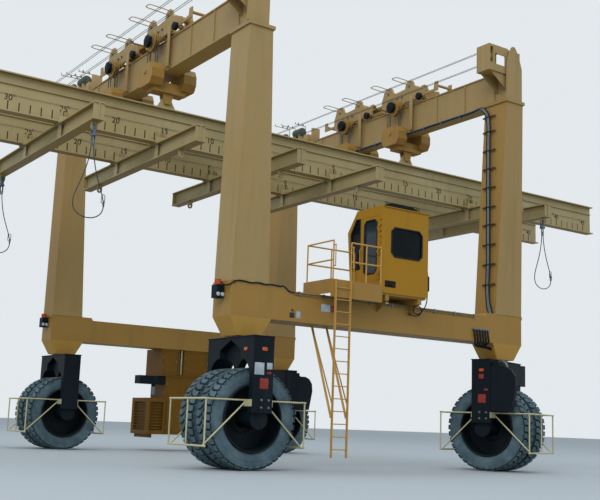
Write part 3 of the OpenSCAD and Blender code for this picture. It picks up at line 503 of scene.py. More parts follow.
def twin(proto, place):
    """A copy of a piece with its own mesh, moved to its place."""
    made = linked(proto.name, proto.data.copy())
    made.data.transform(place)
    return made


def copies(proto, places, name, finish, body="frame", smooth=35):
    """Copies a piece to each place and joins the copies into one."""
    made = joined(*[twin(proto, place) for place in places])
    return finished(made, name, finish, body, smooth)


def drop(proto):
    bpy.data.objects.remove(proto, do_unlink=True)


def edit(obj, what="FACE"):
    """Opens a piece for editing with everything selected."""
    pick(obj)
    bpy.ops.object.mode_set(mode="EDIT")
    bpy.ops.mesh.select_mode(type=what)
    bpy.ops.mesh.select_all(action="SELECT")


def close():
    bpy.ops.mesh.select_all(action="SELECT")
    bpy.ops.mesh.normals_make_consistent(inside=False)
    bpy.ops.object.mode_set(mode="OBJECT")


def slab(size, bevel, place=(0, 0, 0)):
    """A block of plate with rounded edges."""
    deselect()
    bpy.ops.mesh.primitive_cube_add(size=1, location=place)
    made = bpy.context.object
    made.scale = size
    bpy.ops.object.transform_apply(location=True, rotation=False, scale=True)
    edit(made, "EDGE")
    bpy.ops.mesh.bevel(offset=bevel, segments=2, affect="EDGES")
    close()
    return made


def turned(profile, steps=32, axis="Z"):
    """A lathe-turned piece from (radius, height) pairs, spun about its axis."""
    deselect()
    mesh = bpy.data.meshes.new("turned")
    mesh.from_pydata([(r, 0, h) for r, h in profile],
                     [(i, i + 1) for i in range(len(profile) - 1)], [])
    made = linked("turned", mesh)
    edit(made, "VERT")
    bpy.ops.mesh.spin(steps=steps, angle=math.tau, center=(0, 0, 0), axis=(0, 0, 1))
    bpy.ops.mesh.select_all(action="SELECT")
    bpy.ops.mesh.remove_doubles(threshold=1e-5)
    close()
    turn = {"Z": (0, 0, 0), "X": (0, 90, 0), "Y": (-90, 0, 0)}[axis]
    made.data.transform(at(0, 0, 0, turn))
    return made


def hose(points, diameter, name, finish, body="frame", sides=2,
         bent=True):
    """A smooth tube through points: a curve with a round bevel, turned into a mesh."""
    curve = bpy.data.curves.new(name, "CURVE")
    curve.dimensions = "3D"
    curve.bevel_depth = diameter / 2
    curve.bevel_resolution = sides
    curve.resolution_u = 6
    curve.use_fill_caps = True
    line = curve.splines.new("BEZIER" if bent else "POLY")
    if bent:
        line.bezier_points.add(len(points) - 1)
        for knot, point in zip(line.bezier_points, points):
            knot.co = point
            knot.handle_left_type = knot.handle_right_type = "AUTO"
    else:
        line.points.add(len(points) - 1)
        for knot, point in zip(line.points, points):
            knot.co = (*point, 1)
    pick(linked(name, curve))
    bpy.ops.object.convert(target="MESH")
    return finished(bpy.context.object, name, finish, body, 60)


def rod(points, diameter, name, finish, body="frame", sides=2):
    """A tube that runs straight from point to point."""
    return hose(points, diameter, name, finish, body, sides, bent=False)


def bolt(across, height, washer=1.25):
    """A hexagon head with a washer under it, its face up along Z."""
    deselect()
    bpy.ops.mesh.primitive_cylinder_add(vertices=6, radius=across / 2 / math.cos(math.pi / 6),
                                        depth=height, location=(0, 0, height / 2 + across / 8))
    head = bpy.context.object
    bpy.ops.object.transform_apply(location=True, rotation=False, scale=False)
    edit(head, "EDGE")
    bpy.ops.mesh.bevel(offset=across * 0.06, segments=1, affect="EDGES")
    close()
    ring = turned([(0.0, -0.002), (across * washer / 2, -0.002),
                   (across * washer / 2, across / 8), (0.0, across / 8)], 16)
    return joined(head, ring)

# %% [markdown]
# ## Tyres
# Each wheel set has two twin tyres. A tyre is a carcass, spun from its section, with forty
# lugs on each shoulder: a block straight across the shoulder that turns into a slanting bar
# towards the middle. The two sides are half a lug apart, as on the real tread. Cutting the
# grooves out of a full ring needs heavy booleans, while lugs set on a carcass, as a mould
# does it, stay light and clean.

# %% One tyre
LUGS = 40
RIM_R = 0.77
# half section from the bead outwards: distance from the middle plane, radius
CARCASS = [(0.247, RIM_R), (0.262, 0.800), (0.286, 0.838), (0.300, 0.905), (0.304, 0.955),
           (0.309, 0.962), (0.309, 0.972), (0.303, 0.979), (0.301, 1.030), (0.292, 1.092),
           (0.276, 1.134), (0.150, 1.144), (0.000, 1.147)]
# a lug's sections: outer point, inner point (distance, radius), reach along the tread
LUG = [((0.306, 1.092), (0.294, 1.092), -0.052, 0.052),
       ((0.309, 1.128), (0.288, 1.118), -0.062, 0.062),
       ((0.306, 1.163), (0.280, 1.128), -0.066, 0.066),
       ((0.290, 1.184), (0.270, 1.134), -0.067, 0.067),
       ((0.235, 1.189), (0.235, 1.138), -0.067, 0.068),
       ((0.165, 1.190), (0.165, 1.141), -0.063, 0.070),
       ((0.118, 1.190), (0.118, 1.142), -0.042, 0.080),
       ((0.060, 1.190), (0.060, 1.144), 0.012, 0.116),
       ((0.008, 1.190), (0.008, 1.145), 0.062, 0.152)]


def lug_mesh():
    spots = []
    for outer, inner, back, front in LUG:
        for (y, r), reach in ((outer, back), (outer, front), (inner, front), (inner, back)):
            angle = reach / 1.19
            spots.append((r * math.sin(angle), y, r * math.cos(angle)))
    faces = [[0, 1, 2, 3]]
    for k in range(len(LUG) - 1):
        for j in range(4):
            a, b = 4 * k + j, 4 * k + (j + 1) % 4
            faces.append([a, b, b + 4, a + 4])
    last = 4 * (len(LUG) - 1)
    faces.append([last + 3, last + 2, last + 1, last])
    mesh = bpy.data.meshes.new("lug")
    mesh.from_pydata(spots, [], faces)
    made = linked("lug", mesh)
    edit(made)
    close()
    wide = made.modifiers.new("edge", "BEVEL")
    wide.width = 0.007
    wide.segments = 1
    wide.limit_method = "ANGLE"
    wide.angle_limit = math.radians(40)
    bpy.ops.object.modifier_apply(modifier="edge")
    return made


def one_tyre():
    half = [(r, y) for y, r in CARCASS]
    section = half + [(r, -y) for r, y in reversed(half[:-1])]
    carcass = turned(section + [section[0]], 96)
    carcass.data.transform(at(0, 0, 0, (-90, 0, 0)))
    lug = lug_mesh()
    parts = [carcass]
    for side in (1, -1):
        for k in range(LUGS):
            block = twin(lug, Matrix.Scale(side, 4, (0, 1, 0)))
            angle = 360.0 / LUGS * (k + (0.5 if side < 0 else 0.0))
            block.data.transform(at(0, 0, 0, (0, angle, 0)))
            if side < 0:
                block.data.flip_normals()
            parts.append(block)
    drop(lug)
    return joined(*parts)


tyre = one_tyre()
print("one tyre:", len(tyre.data.polygons), "faces")

# %% The eight tyres
GROOVE_BAND = (1.120, 1.149)     # radii between which the tread's ground shows
for corner in CORNERS:
    places = [corner_place(corner) @ at(0, side * TWIN_Y, AXLE_Z, (0, 5 * side, 0))
              for side in (-1, 1)]
    pair = copies(tyre, places, "tread_" + corner, tyre_rubber, "wheels_" + corner,
                  30)
    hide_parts("tyres_" + corner)
    # The ground between the lugs is painted nearly black as painted shade.
    pair.data.materials.append(groove_shade_rubber)
    home = corner_place(corner).inverted()
    for face in pair.data.polygons:
        spot = home @ face.center
        if GROOVE_BAND[0] < math.hypot(spot.x, spot.z - AXLE_Z) < GROOVE_BAND[1]:
            face.material_index = 1
drop(tyre)
print("tyres: 4 pairs")

# %% [markdown]
# ## Rims and hubs
# The rim's outer flange carries a rolled ring that catches the light, and a circle of
# wheel nuts holds the disc to the planetary hub. The ring is spun from its section, as it
# is rolled, and one nut is modelled and copied round the circle.

# %% Rim rings and wheel nuts
lip = turned([(0.752, -0.022), (0.775, -0.030), (0.792, -0.014), (0.794, 0.004),
              (0.782, 0.018), (0.766, 0.010), (0.752, -0.022)], 96)
nut = bolt(0.046, 0.030)
NUTS = 20
NUT_CIRCLE = 0.33
FLANGE_Y = 0.290     # from the middle of a tyre to the ring on its rim
DISC_Y = 0.241
for corner in CORNERS:
    here = corner_place(corner)
    rings = [here @ at(0, side * TWIN_Y + edge * FLANGE_Y, AXLE_Z, (90 * edge, 0, 0))
             for side in (-1, 1) for edge in (-1, 1)]
    heads = [here @ at(dx, side * DISC_Y, AXLE_Z + dz, (-90 * side, 0, 0))
             for side in (-1, 1) for dx, dz in around(NUTS, NUT_CIRCLE)]
    copies(lip, rings, "rim_lips_" + corner, rim_enamel, "wheels_" + corner)
    copies(nut, heads, "wheel_nuts_" + corner, rim_enamel, "wheels_" + corner)
drop(lip)
drop(nut)
print("rim rings and nuts on", len(CORNERS), "wheel sets")

# %% [markdown]
# ## Fork plates and reflectors
# Each fork's outer plate carries reflectors, blank plates and the four bolts of the hub's
# bracket. A picture on the fork would show them as well, but thin pressed pieces with
# rounded corners and a rim catch the light at their edges as the real ones do.

# %% Pressed plates
def pressed(width, height, thick=0.006, corner=0.012):
    """A thin plate that faces -Y, its back on y = 0."""
    deselect()
    bpy.ops.mesh.primitive_plane_add(size=1)
    made = bpy.context.object
    made.scale = (width, height, 1)
    bpy.ops.object.transform_apply(location=False, rotation=False, scale=True)
    edit(made, "VERT")
    bpy.ops.mesh.bevel(offset=corner, segments=3, affect="VERTICES")
    bpy.ops.mesh.select_all(action="SELECT")
    bpy.ops.mesh.extrude_region_move(TRANSFORM_OT_translate={"value": (0, 0, thick * 0.7)})
    bpy.ops.mesh.inset(thickness=min(0.004, width / 8), depth=thick * 0.3)
    close()
    made.data.transform(at(0, 0, 0, (90, 0, 0)))
    return made


def fixed(proto, places, name, finish, body="frame", smooth=35):
    """Copies a pattern to each place, joins the copies and drops the pattern."""
    made = copies(proto, places, name, finish, body, smooth)
    drop(proto)
    return made


FORK_FACE = 1.0752   # from the steering axis to the fork's outer face
# red plates on every fork: name, size, place along and up the face
RED_PLATES = (("red_plate_", (0.23, 0.24), (0.035, 2.00)),
              ("red_strip_", (0.12, 0.05), (0.16, 2.25)))
# plates on one fork only: its corner, name, size, place from the steering axis, finish
SINGLE_PLATES = (
    ("near_left", "blank_plate_large", (0.26, 0.28), at(-0.11, -FORK_FACE, 2.34), white_sign),
    ("near_left", "blank_plate_small", (0.15, 0.15), at(0.17, -FORK_FACE, 2.41), white_sign),
    ("near_left", "reflector_side", (0.14, 0.085, 0.014, 0.035),
     at(-0.2802, -0.72, 2.80, (0, 0, -90)), amber),
    ("near_right", "red_plate_upper", (0.15, 0.13), at(0.01, -FORK_FACE, 2.62), red_sheet))
for corner in CORNERS:
    body = "fork_" + corner
    outward = 0 if corner.startswith("near") else 180
    face = corner_place(corner) @ at(0, 0, 0, (0, 0, outward)) @ at(0, -FORK_FACE, 0)
    for name, size, (x, z) in RED_PLATES:
        fixed(pressed(*size), [face @ at(x, 0, z)], name + corner, red_sheet, body)
    fixed(bolt(0.050, 0.030),
          [face @ at(x, 0, z, (90, 0, 0)) for x in (-0.03, 0.17) for z in (1.45, 1.62)],
          "bracket_bolts_" + corner, zinc, body)
    fixed(pressed(0.15, 0.085, 0.014, 0.035), [face @ at(0.02, 0, 2.80)],
          "reflector_" + corner, amber, body)
    fixed(slab((0.46, 0.030, 0.035), 0.006), [face @ at(0.02, -0.013, 1.345)],
          "foot_strip_" + corner, black_enamel, body)
for corner, name, size, place, finish in SINGLE_PLATES:
    fixed(pressed(*size), [corner_place(corner) @ place], name, finish, "fork_" + corner)

# %% Hydraulic hoses on the right forks
for corner in ("near_right", "far_right"):
    here = corner_place(corner)
    for k in range(3):
        y = -0.40 - 0.09 * k
        route = [(0.36, y, 3.00), (0.40, y - 0.03, 3.075), (0.50, y - 0.10, 3.06),
                 (0.58 + 0.03 * k, y - 0.16, 2.93),
                 (0.62 + 0.06 * k, -0.950 + 0.02 * k, 2.815 - 0.03 * k)]
        hose([here @ Vector(point) for point in route], 0.034,
             "motor_hose_%s_%d" % (corner, k), braid, "fork_" + corner)
    fixed(bolt(0.058, 0.05), [here @ at(0.36, -0.40 - 0.09 * k, 3.02) for k in range(3)],
          "hose_unions_" + corner, zinc, "fork_" + corner)
print("forks dressed")

# %% [markdown]
# ## Lamps on the sills
# Two amber beacons stand on the lamp boxes at the left ends of the sills, each over a box
# with two work lights. The beacon is turned from its section, and twenty small ribs round
# it stand for the moulded lens, because a bump alone would leave its outline smooth.

# %% Beacons and work lights
beacon = turned([(0.076, 0.000), (0.084, 0.002), (0.084, 0.016), (0.0775, 0.020),
                 (0.0775, 0.118), (0.066, 0.134), (0.040, 0.1395), (0.000, 0.1405)], 40)
ribs = []
for k in range(20):
    rib = slab((0.006, 0.010, 0.098), 0.0015)
    rib.data.transform(at(0, 0, 0, (0, 0, 18 * k)) @ at(0, 0.079, 0.069))
    ribs.append(rib)
beacon = joined(beacon, *ribs)
BOX_X = -5.074       # the lamp boxes' middle
fixed(beacon, [at(BOX_X, y, 4.3305) for y in (-STEER_Y, STEER_Y)], "beacons", amber, "frame")
fixed(turned([(0.0, 0.012), (0.030, 0.010), (0.040, 0.004), (0.046, 0.006), (0.050, -0.002),
              (0.044, -0.004), (0.0, -0.004)], 32, "Y"),
      [at(x, y - 0.132, 4.10, (180, 0, 0)) for y in (-STEER_Y, STEER_Y)
       for x in (-5.125, -5.005)], "work_light_glass", lamp_glass, "frame", 60)

# %% [markdown]
# ## Hoses and conduits on the near sill
# A spiral-wrapped hose runs along the sill's raised corner and becomes two conduits on the
# sill's edge, then six hoses leave a slot near the right leg and drop to the turning ring.
# All are curves with a round bevel: a hose bends by moving one of its points, and the wrap
# is a second, thinner curve wound round the first by a loop.

# %% Sill hoses
SILL_Y = -6.319
wrap = [(-5.074, -6.030, 4.38), (-5.02, -6.20, 4.30), (-4.93, -6.318, 4.36),
        (-4.80, SILL_Y, 4.425), (-4.60, SILL_Y, 4.432), (-4.42, SILL_Y, 4.412),
        (-4.20, SILL_Y, 4.436), (-4.00, SILL_Y, 4.415), (-3.80, SILL_Y, 4.434),
        (-3.60, SILL_Y, 4.418), (-3.46, SILL_Y, 4.428), (-3.36, SILL_Y, 4.36),
        (-3.28, SILL_Y, 4.315), (-3.15, SILL_Y, 4.312)]
hose(wrap, 0.034, "sill_hose", hose_rubber)
WRAP_STEPS, STEPS_PER_TURN, WRAP_R = 260, 6.0, 0.0195
coil = []
for k in range(WRAP_STEPS):
    t = 2.0 + (len(wrap) - 5) * k / (WRAP_STEPS - 1)
    a, b = Vector(wrap[int(t)]), Vector(wrap[min(int(t) + 1, len(wrap) - 1)])
    spot = a.lerp(b, t - int(t))
    angle = math.tau * k / STEPS_PER_TURN
    coil.append(spot + Vector((0, WRAP_R * math.cos(angle), WRAP_R * math.sin(angle))))
rod(coil, 0.008, "sill_hose_wrap", hose_rubber, sides=1)
for k, drop_z in enumerate((4.314, 4.268)):
    rod([(-3.15, SILL_Y, drop_z), (0.0, SILL_Y, drop_z), (3.02, SILL_Y, drop_z)], 0.028,
        "sill_conduit_%d" % k, grey_conduit)
strap = slab((0.040, 0.046, 0.110), 0.004)
fixed(strap, [at(-3.0 + 0.75 * k, -6.3245, 4.291) for k in range(9)], "conduit_straps", zinc)
for k in range(6):
    x = 3.00 + 0.105 * k
    hose([(x, -6.309, 3.93), (x, -6.335, 3.875), (x + 0.015, -6.345, 3.74),
          (x + 0.05, -6.33, 3.60), (x + 0.14 - 0.02 * k, -6.22, 3.50),
          (3.60 + 0.045 * k, -6.10, 3.46), (4.02 + 0.015 * k, -6.17, 3.44 - 0.035 * k)], 0.052,
         "pivot_hose_%d" % k, hose_rubber)
fixed(slab((0.66, 0.030, 0.05), 0.008), [at(3.27, -6.318, 3.925)], "hose_slot_lip", zinc)

# %% Signs and marks on the near sill, all blank
SILL_FACE = -6.3004
SILL_SIGNS = {"blank_sign": ((0.28, 0.19), (-2.16, 4.015), white_sign),
              "red_sign": ((0.11, 0.17), (-1.95, 4.01), red_sheet),
              "small_label_a": ((0.07, 0.05), (-3.17, 3.865), dark_mark),
              "small_label_b": ((0.14, 0.13), (-3.18, 3.745), dark_mark),
              "small_label_c": ((0.12, 0.17), (-2.99, 3.765), white_sign)}
for name, (size, (x, z), finish) in SILL_SIGNS.items():
    fixed(pressed(*size), [at(x, SILL_FACE, z)], name, finish, "frame")

# %% [markdown]
# ## Flat bars on the ladder's stays
# The ladder hangs from the platform and is stayed to the sill by two angle bars. The solid
# has one leg of each angle; the other is a flat bar along it, laid at the stay's slope.

# %% Stay flanges
STAY_TOP, STAY_FOOT = (-5.880, 3.575), (-6.815, 1.280)      # along Y and Z
LADDER_XS = (-2.27, -1.81)
run = STAY_TOP[0] - STAY_FOOT[0]
rise = STAY_TOP[1] - STAY_FOOT[1]
stay_middle = ((STAY_TOP[0] + STAY_FOOT[0]) / 2, (STAY_TOP[1] + STAY_FOOT[1]) / 2)
fixed(slab((0.070, 0.012, math.hypot(run, rise)), 0.003),
      [at(x, *stay_middle, (-math.degrees(math.atan2(run, rise)), 0, 0)) for x in LADDER_XS],
      "ladder_stay_flanges", rail_enamel, "frame")

# %% [markdown]
# ## Hoses up the right leg
# Four hydraulic hoses climb the inner face of the near right leg, held off it by flat bars
# with saddles, and bend over the head plate to the girder. The leg tapers and leans, so one
# small function tells where its face is at each height, and bars and hoses both ask it.

# %% Leg hoses
def leg_face(z):
    """The left face of the near right leg at a height, and the bundle's place across it."""
    share = (z - 4.43) / 6.43
    return 3.88 + 0.302 * share, -6.08 + 0.30 * share


for k in range(4):
    spots = [(3.72 + 0.02 * k, -6.285, 4.36), (3.79, -6.24 + 0.05 * k, 4.50)]
    for z in (4.8, 6.0, 7.2, 8.4, 9.6, 10.3):
        x, y = leg_face(z)
        spots.append((x - 0.085, y - 0.066 + 0.044 * k, z))
    lane_x, lane_z = 4.280 - 0.040 * (k % 2), 10.925 - 0.040 * (k // 2)
    spots += [(4.085, -5.80 + 0.05 * k, 10.60), (4.110, -5.62 + 0.03 * k, 10.80 - 0.02 * k),
              (4.18, -5.36, lane_z - 0.01), (lane_x, -5.00, lane_z), (lane_x, -4.0, lane_z),
              (lane_x, 0.0, lane_z), (lane_x, 4.0, lane_z), (lane_x, 5.20, lane_z),
              (lane_x + 0.03, 5.42, lane_z + 0.02)]
    hose(spots, 0.036, "leg_hose_%d" % k, hose_rubber if k in (0, 3) else braid)
STRAP_YS = [-4.4 + 0.85 * k for k in range(12)]
fixed(slab((0.105, 0.030, 0.012), 0.003), [at(4.262, y, 10.841) for y in STRAP_YS],
      "girder_hose_straps", zinc)
fixed(slab((0.012, 0.030, 0.116), 0.003),
      [at(x, y, 10.898) for x in (4.211, 4.3165) for y in STRAP_YS], "girder_hose_hangers",
      zinc)
bars = []
for z in (5.3, 5.9, 6.5, 7.1, 7.65, 8.25, 8.84, 9.42, 10.02, 10.5):
    x, y = leg_face(z)
    bars.append(at(x - 0.058, y, z))
fixed(slab((0.016, 0.52, 0.050), 0.004), bars, "leg_hose_bars", stencil)
saddle = slab((0.012, 0.21, 0.040), 0.004)
fixed(saddle, [place @ at(-0.0535, 0, 0) for place in bars], "leg_hose_saddles", stencil)
stand = slab((0.052, 0.030, 0.030), 0.003)
fixed(stand, [place @ at(0.031, side * 0.22, 0) for place in bars for side in (-1, 1)],
      "leg_hose_stands", pale_enamel, "frame")
print("leg hoses and", len(bars), "bars")

# %% [markdown]
# ## Welds and joint bolts
# Fillet welds run round every leg's foot and head, and bolts hang under the head plates. A
# weld is a thin wavy bead in the corner between two plates, so a bevelled curve round the
# leg gives it in one go.

# %% Welds and bolts
WELD_D = 0.024


def weld_ring(x, y, z, length, width, name):
    a, b = length / 2, width / 2
    ring = []
    corners = [(-a, -b), (a, -b), (a, b), (-a, b), (-a, -b)]
    for (x0, y0), (x1, y1) in zip(corners, corners[1:]):
        for k in range(12):
            t = k / 12
            ring.append((x + x0 + (x1 - x0) * t, y + y0 + (y1 - y0) * t,
                         z + 0.0015 * math.sin(12 * t)))
    ring.append(ring[0])
    rod(ring, WELD_D, name, pale_enamel, "frame", 1)


HEAD_X, HEAD_Y = 4.522, 6.01     # the middle of each leg's head
for sx, side_name in SIDES:
    for sy, depth_name in ((-1, "near"), (1, "far")):
        where = depth_name + "_" + side_name
        weld_ring(sx * 4.41, sy * STEER_Y, 4.434, 1.064, 0.844, "foot_weld_" + where)
        weld_ring(sx * HEAD_X, sy * HEAD_Y, 10.857, 0.684, 0.904, "head_weld_" + where)
joint = [at(sx * HEAD_X + s * 0.3635, sy * HEAD_Y - 0.42 + 0.14 * k, 10.86, (180, 0, 0))
         for sx in (-1, 1) for sy in (-1, 1) for k in range(7) for s in (-1, 1)]
fixed(bolt(0.030, 0.018, 1.15), joint, "head_plate_bolts", zinc, "frame")
print("welds on 4 legs,", len(joint), "bolts")

# %% [markdown]
# ## Ropes along the girders
# Each trolley is hauled by a rope loop: round the sheave in the near rope head, along the
# girder, and to an anchor bar at the far end. The lower run is clamped to the trolley. The
# ropes are taut, so straight runs with a half circle between them are true to the real ones.

# %% Hauling ropes
ROPE_LOW, ROPE_HIGH = 12.004, 12.418
ROPE_LANES = (-0.975, -0.910)    # the two ropes, beside the girder's middle
ROPE_END, SHEAVE_END = 6.03, -6.12
BEND_STEPS = 16
bend_r = (ROPE_HIGH - ROPE_LOW) / 2
bend_z = (ROPE_HIGH + ROPE_LOW) / 2
for middle, side_name in GIRDERS:
    for k, dx in enumerate(ROPE_LANES):
        x = middle + dx
        loop = [(x, ROPE_END, ROPE_LOW), (x, 0.0, ROPE_LOW), (x, SHEAVE_END, ROPE_LOW)]
        for step in range(1, BEND_STEPS):
            angle = math.pi * step / BEND_STEPS
            loop.append((x, SHEAVE_END - bend_r * math.sin(angle),
                         bend_z - bend_r * math.cos(angle)))
        loop += [(x, SHEAVE_END, ROPE_HIGH), (x, 0.0, ROPE_HIGH), (x, ROPE_END, ROPE_HIGH)]
        rod(loop, 0.016, "haul_rope_%s_%d" % (side_name, k), wire_steel, "frame")
    fixed(slab((0.74, 0.050, 0.060), 0.006),
          [at(middle - 0.630, 6.05, z) for z in (ROPE_LOW, ROPE_HIGH)],
          "anchor_bars_" + side_name, pale_enamel, "frame")
    fixed(turned([(0.0, 0.0), (0.020, 0.0), (0.021, 0.02), (0.021, 0.11), (0.014, 0.16),
                  (0.012, 0.19), (0.0, 0.19)], 16, "Y"),
          [at(middle + dx, ROPE_END, z, (0, 0, 180)) for dx in ROPE_LANES
           for z in (ROPE_LOW, ROPE_HIGH)], "rope_sockets_" + side_name, zinc, "frame")

# %% Rope guides and towing arms on the trolleys
SHEAVE_Y = 1.4       # the hoist sheaves, from the trolley's middle
GUIDES = ((-2.06, 0.26), (-0.95, 0.29), (0.74, 0.26), (1.85, 0.29))
CHEEK_BOLTS = ((-0.53, 0.64), (0.58, 0.64), (-0.16, 0.34), (0.10, 0.34), (0.36, 0.34))
for middle, side_name in GIRDERS:
    body = "trolley_" + side_name
    for k, (y, wide) in enumerate(GUIDES):
        rod([(middle - 0.338, y, 12.66), (middle - 0.60, y, 12.68), (middle - 0.97, y, 12.69),
             (middle - 1.04, y + 0.05, 12.69), (middle - 1.04, y + wide - 0.05, 12.69),
             (middle - 0.97, y + wide, 12.69), (middle - 0.338, y + wide, 12.66)], 0.028,
            "rope_guide_%s_%d" % (side_name, k), pale_enamel, body)
    fixed(slab((0.66, 0.080, 0.030), 0.005), [at(middle - 0.668, -0.75, 11.965)],
          "towing_arm_" + side_name, pale_enamel, body)
    fixed(slab((0.12, 0.14, 0.024), 0.005), [at(middle - 0.940, -0.75, 11.992)],
          "rope_clamp_" + side_name, zinc, body)
    fixed(turned([(0.0, 0.020), (0.045, 0.020), (0.050, 0.012), (0.115, 0.010), (0.125, 0.0),
                  (0.125, -0.10), (0.0, -0.10)], 8, "X"),
          [at(middle + s * 0.345 + (0.1 if s > 0 else -0.1), y, 12.06,
              (0, 0, 0 if s > 0 else 180)) for s in (-1, 1) for y in (-2.48, 0.32)],
          "travel_motor_" + side_name, black_enamel, body)
    fixed(turned([(0.0, 0.120), (0.080, 0.120), (0.090, 0.108), (0.180, 0.104), (0.195, 0.090),
                  (0.195, 0.0), (0.0, 0.0)], 8, "X"),
          [at(middle + s * 0.6555, y, 11.87, (22.5, 0, 0 if s > 0 else 180)) for s in (-1, 1)
           for y in (-SHEAVE_Y, SHEAVE_Y)], "sheave_cap_" + side_name, black_enamel, body)
    fixed(bolt(0.060, 0.034),
          [at(middle + s * 0.3402, y + dy, 11.93 + dz, (0, 90 * s, 0)) for s in (-1, 1)
           for y in (-SHEAVE_Y, SHEAVE_Y) for dy, dz in CHEEK_BOLTS],
          "trolley_bolts_" + side_name, zinc, body)

# %% Guide plates that hold the trolleys down beside the girder
for middle, side_name in GIRDERS:
    plate = slab((0.024, 0.160, 1.20), 0.004)
    foot = slab((0.062, 0.160, 0.024), 0.004, (0.043, 0, -0.588))
    fixed(joined(plate, foot),
          [at(middle + s * 0.3525, y, 11.60, (0, 0, 0 if s < 0 else 180))
           for s in (-1, 1) for y in (-2.04, 0.76)], "guide_plates_" + side_name, pale_enamel,
          "trolley_" + side_name)
print("ropes, guides and motors placed")

# %% [markdown]
# ## Machinery at the far ends of the girders
# Beside each winch lie two motors under hammered grey-green enamel, three rope stands with
# cross rods rise round them, and stop blocks wait on the girder for the trolley. Motors are
# turned from their section, and stands are bent rods, so thin bevelled curves serve.

# %% Winch motors, rope stands and stops
GIRDER_TOP = 11.93
# each stand: its place along the girder, its height, and its reach beside the middle
STANDS = ((5.84, 13.00, 0.42), (6.24, 13.06, 0.46), (5.10, 12.92, 0.26))
motor_section = [(0.0, 0.0), (0.10, 0.0), (0.11, 0.03), (0.165, 0.04), (0.172, 0.06),
                 (0.172, 0.54), (0.165, 0.56), (0.10, 0.57), (0.09, 0.62), (0.0, 0.62)]
for middle, side_name in GIRDERS:
    fixed(turned(motor_section, 32, "Y"), [at(middle, 4.87, 12.605)],
          "winch_motor_" + side_name, motor_enamel, "frame")
    fixed(turned([(r * 0.75, h * 0.62) for r, h in motor_section], 32, "Y"),
          [at(middle, 6.07, 12.66)], "brake_motor_" + side_name, motor_enamel, "frame")
    fixed(slab((0.30, 0.050, 0.56), 0.006),
          [at(middle, y, GIRDER_TOP + 0.275) for y in (4.99, 5.32)],
          "motor_saddles_" + side_name, pale_enamel, "frame")
    fixed(slab((0.24, 0.050, 0.62), 0.006), [at(middle, 6.24, GIRDER_TOP + 0.310)],
          "brake_saddle_" + side_name, pale_enamel, "frame")
    for k, (y, top, reach) in enumerate(STANDS):
        rod([(middle + 0.24, y, 12.40), (middle + 0.24, y, top), (middle - reach, y, top),
             (middle - reach, y, top + 0.07)], 0.034, "rope_stand_%s_%d" % (side_name, k),
            pale_enamel, "frame")
        fixed(bolt(0.050, 0.060), [at(middle + x, y, top + 0.010) for x in (-0.10, 0.12)],
              "stand_lamps_%s_%d" % (side_name, k), zinc, "frame")
    fixed(slab((0.34, 0.110, 0.60), 0.012), [at(middle, 4.03, GIRDER_TOP + 0.298)],
          "stop_post_" + side_name, pale_enamel, "frame")
    fixed(slab((0.30, 0.280, 0.44), 0.016), [at(middle, 4.50, GIRDER_TOP + 0.218)],
          "stop_block_" + side_name, pale_enamel, "frame")
print("motors, stands and stops on both girders")

# %% [markdown]
# ## The rule along the spreader
# A rule is painted on the webs of both beams: a stroke for each foot from the middle, and
# a plain number at every fifth. A signal cable runs above it in clips. An image would need
# a picture file, so strokes and numbers are flat meshes that stand a hair off the web. The
# strokes are built with bmesh, because ninety tiny slabs are quicker in code than by hand.

# %% Rule strokes
RULE_FEET = 45       # the rule's length each way from the middle


def built(name, build):
    """An object from a finished bmesh, its normals turned outwards."""
    bmesh.ops.recalc_face_normals(build, faces=build.faces)
    mesh = bpy.data.meshes.new(name)
    build.to_mesh(mesh)
    build.free()
    return linked(name, mesh)


def strokes(face_y, name):
    build = bmesh.new()
    for k in range(-RULE_FEET, RULE_FEET + 1):
        x = k * FT
        width = 0.016
        bottom, top = 8.935, 9.205 if k % 5 else 9.215
        spots = [build.verts.new((x + dx, face_y + dy, z))
                 for dy in (0.0, -0.0015)
                 for dx, z in ((-width, bottom), (width, bottom), (width, top), (-width, top))]
        for ring in ((4, 5, 6, 7), (0, 1, 5, 4), (1, 2, 6, 5), (2, 3, 7, 6), (3, 0, 4, 7)):
            build.faces.new([spots[i] for i in ring])
    finished(built(name, build), name, stencil, "hoist_left", 0)


def number(value, x, face_y, name):
    words = bpy.data.curves.new(name, "FONT")
    words.body = str(value)
    words.size = 0.235
    words.offset = 0.003
    words.align_x = "CENTER"
    words.extrude = 0.001
    made = linked(name, words)
    made.location = (x, face_y - 0.001, 9.225)
    made.rotation_euler = (math.radians(90), 0, 0)
    pick(made)
    bpy.ops.object.convert(target="MESH")
    finished(bpy.context.object, name, stencil, "hoist_left", 0)


CABLE_Z, CABLE_OFF = 9.385, 0.022
for face_y, beam in ((-1.4121, "near"), (1.3879, "far")):
    strokes(face_y, "rule_strokes_" + beam)
    for k in range(-RULE_FEET, RULE_FEET + 1, 5):
        if k:
            number(abs(k), k * FT, face_y, "rule_number_%s_%d" % (beam, k + RULE_FEET))
    rod([(-14.05, face_y - CABLE_OFF, CABLE_Z)]
        + [(x * 0.5, face_y - CABLE_OFF - 0.002 * (x % 2), CABLE_Z - 0.010 * (x % 2))
           for x in range(-28, 28)]
        + [(13.9, face_y - CABLE_OFF, CABLE_Z)], 0.011, "signal_cable_" + beam, grey_conduit,
        "hoist_left", sides=1)
    fixed(slab((0.030, 0.044, 0.050), 0.004),
          [at(x, face_y - 0.021, 9.383) for x in (-13.5 + 1.5 * k for k in range(19))],
          "cable_clips_" + beam, zinc, "hoist_left")
print("rules and cables on both beams")

# %% [markdown]
# ## Sling fittings
# Under each shackle hangs a forged oval link. The sling's two legs end in swaged ferrules
# that hide in it, so the ropes seem to start a forearm below the eye. A choker's eye and
# keeper sit on the right leg. A torus can't be made oval without thinning its bar, so the
# link is a bevelled curve along two half circles set apart.

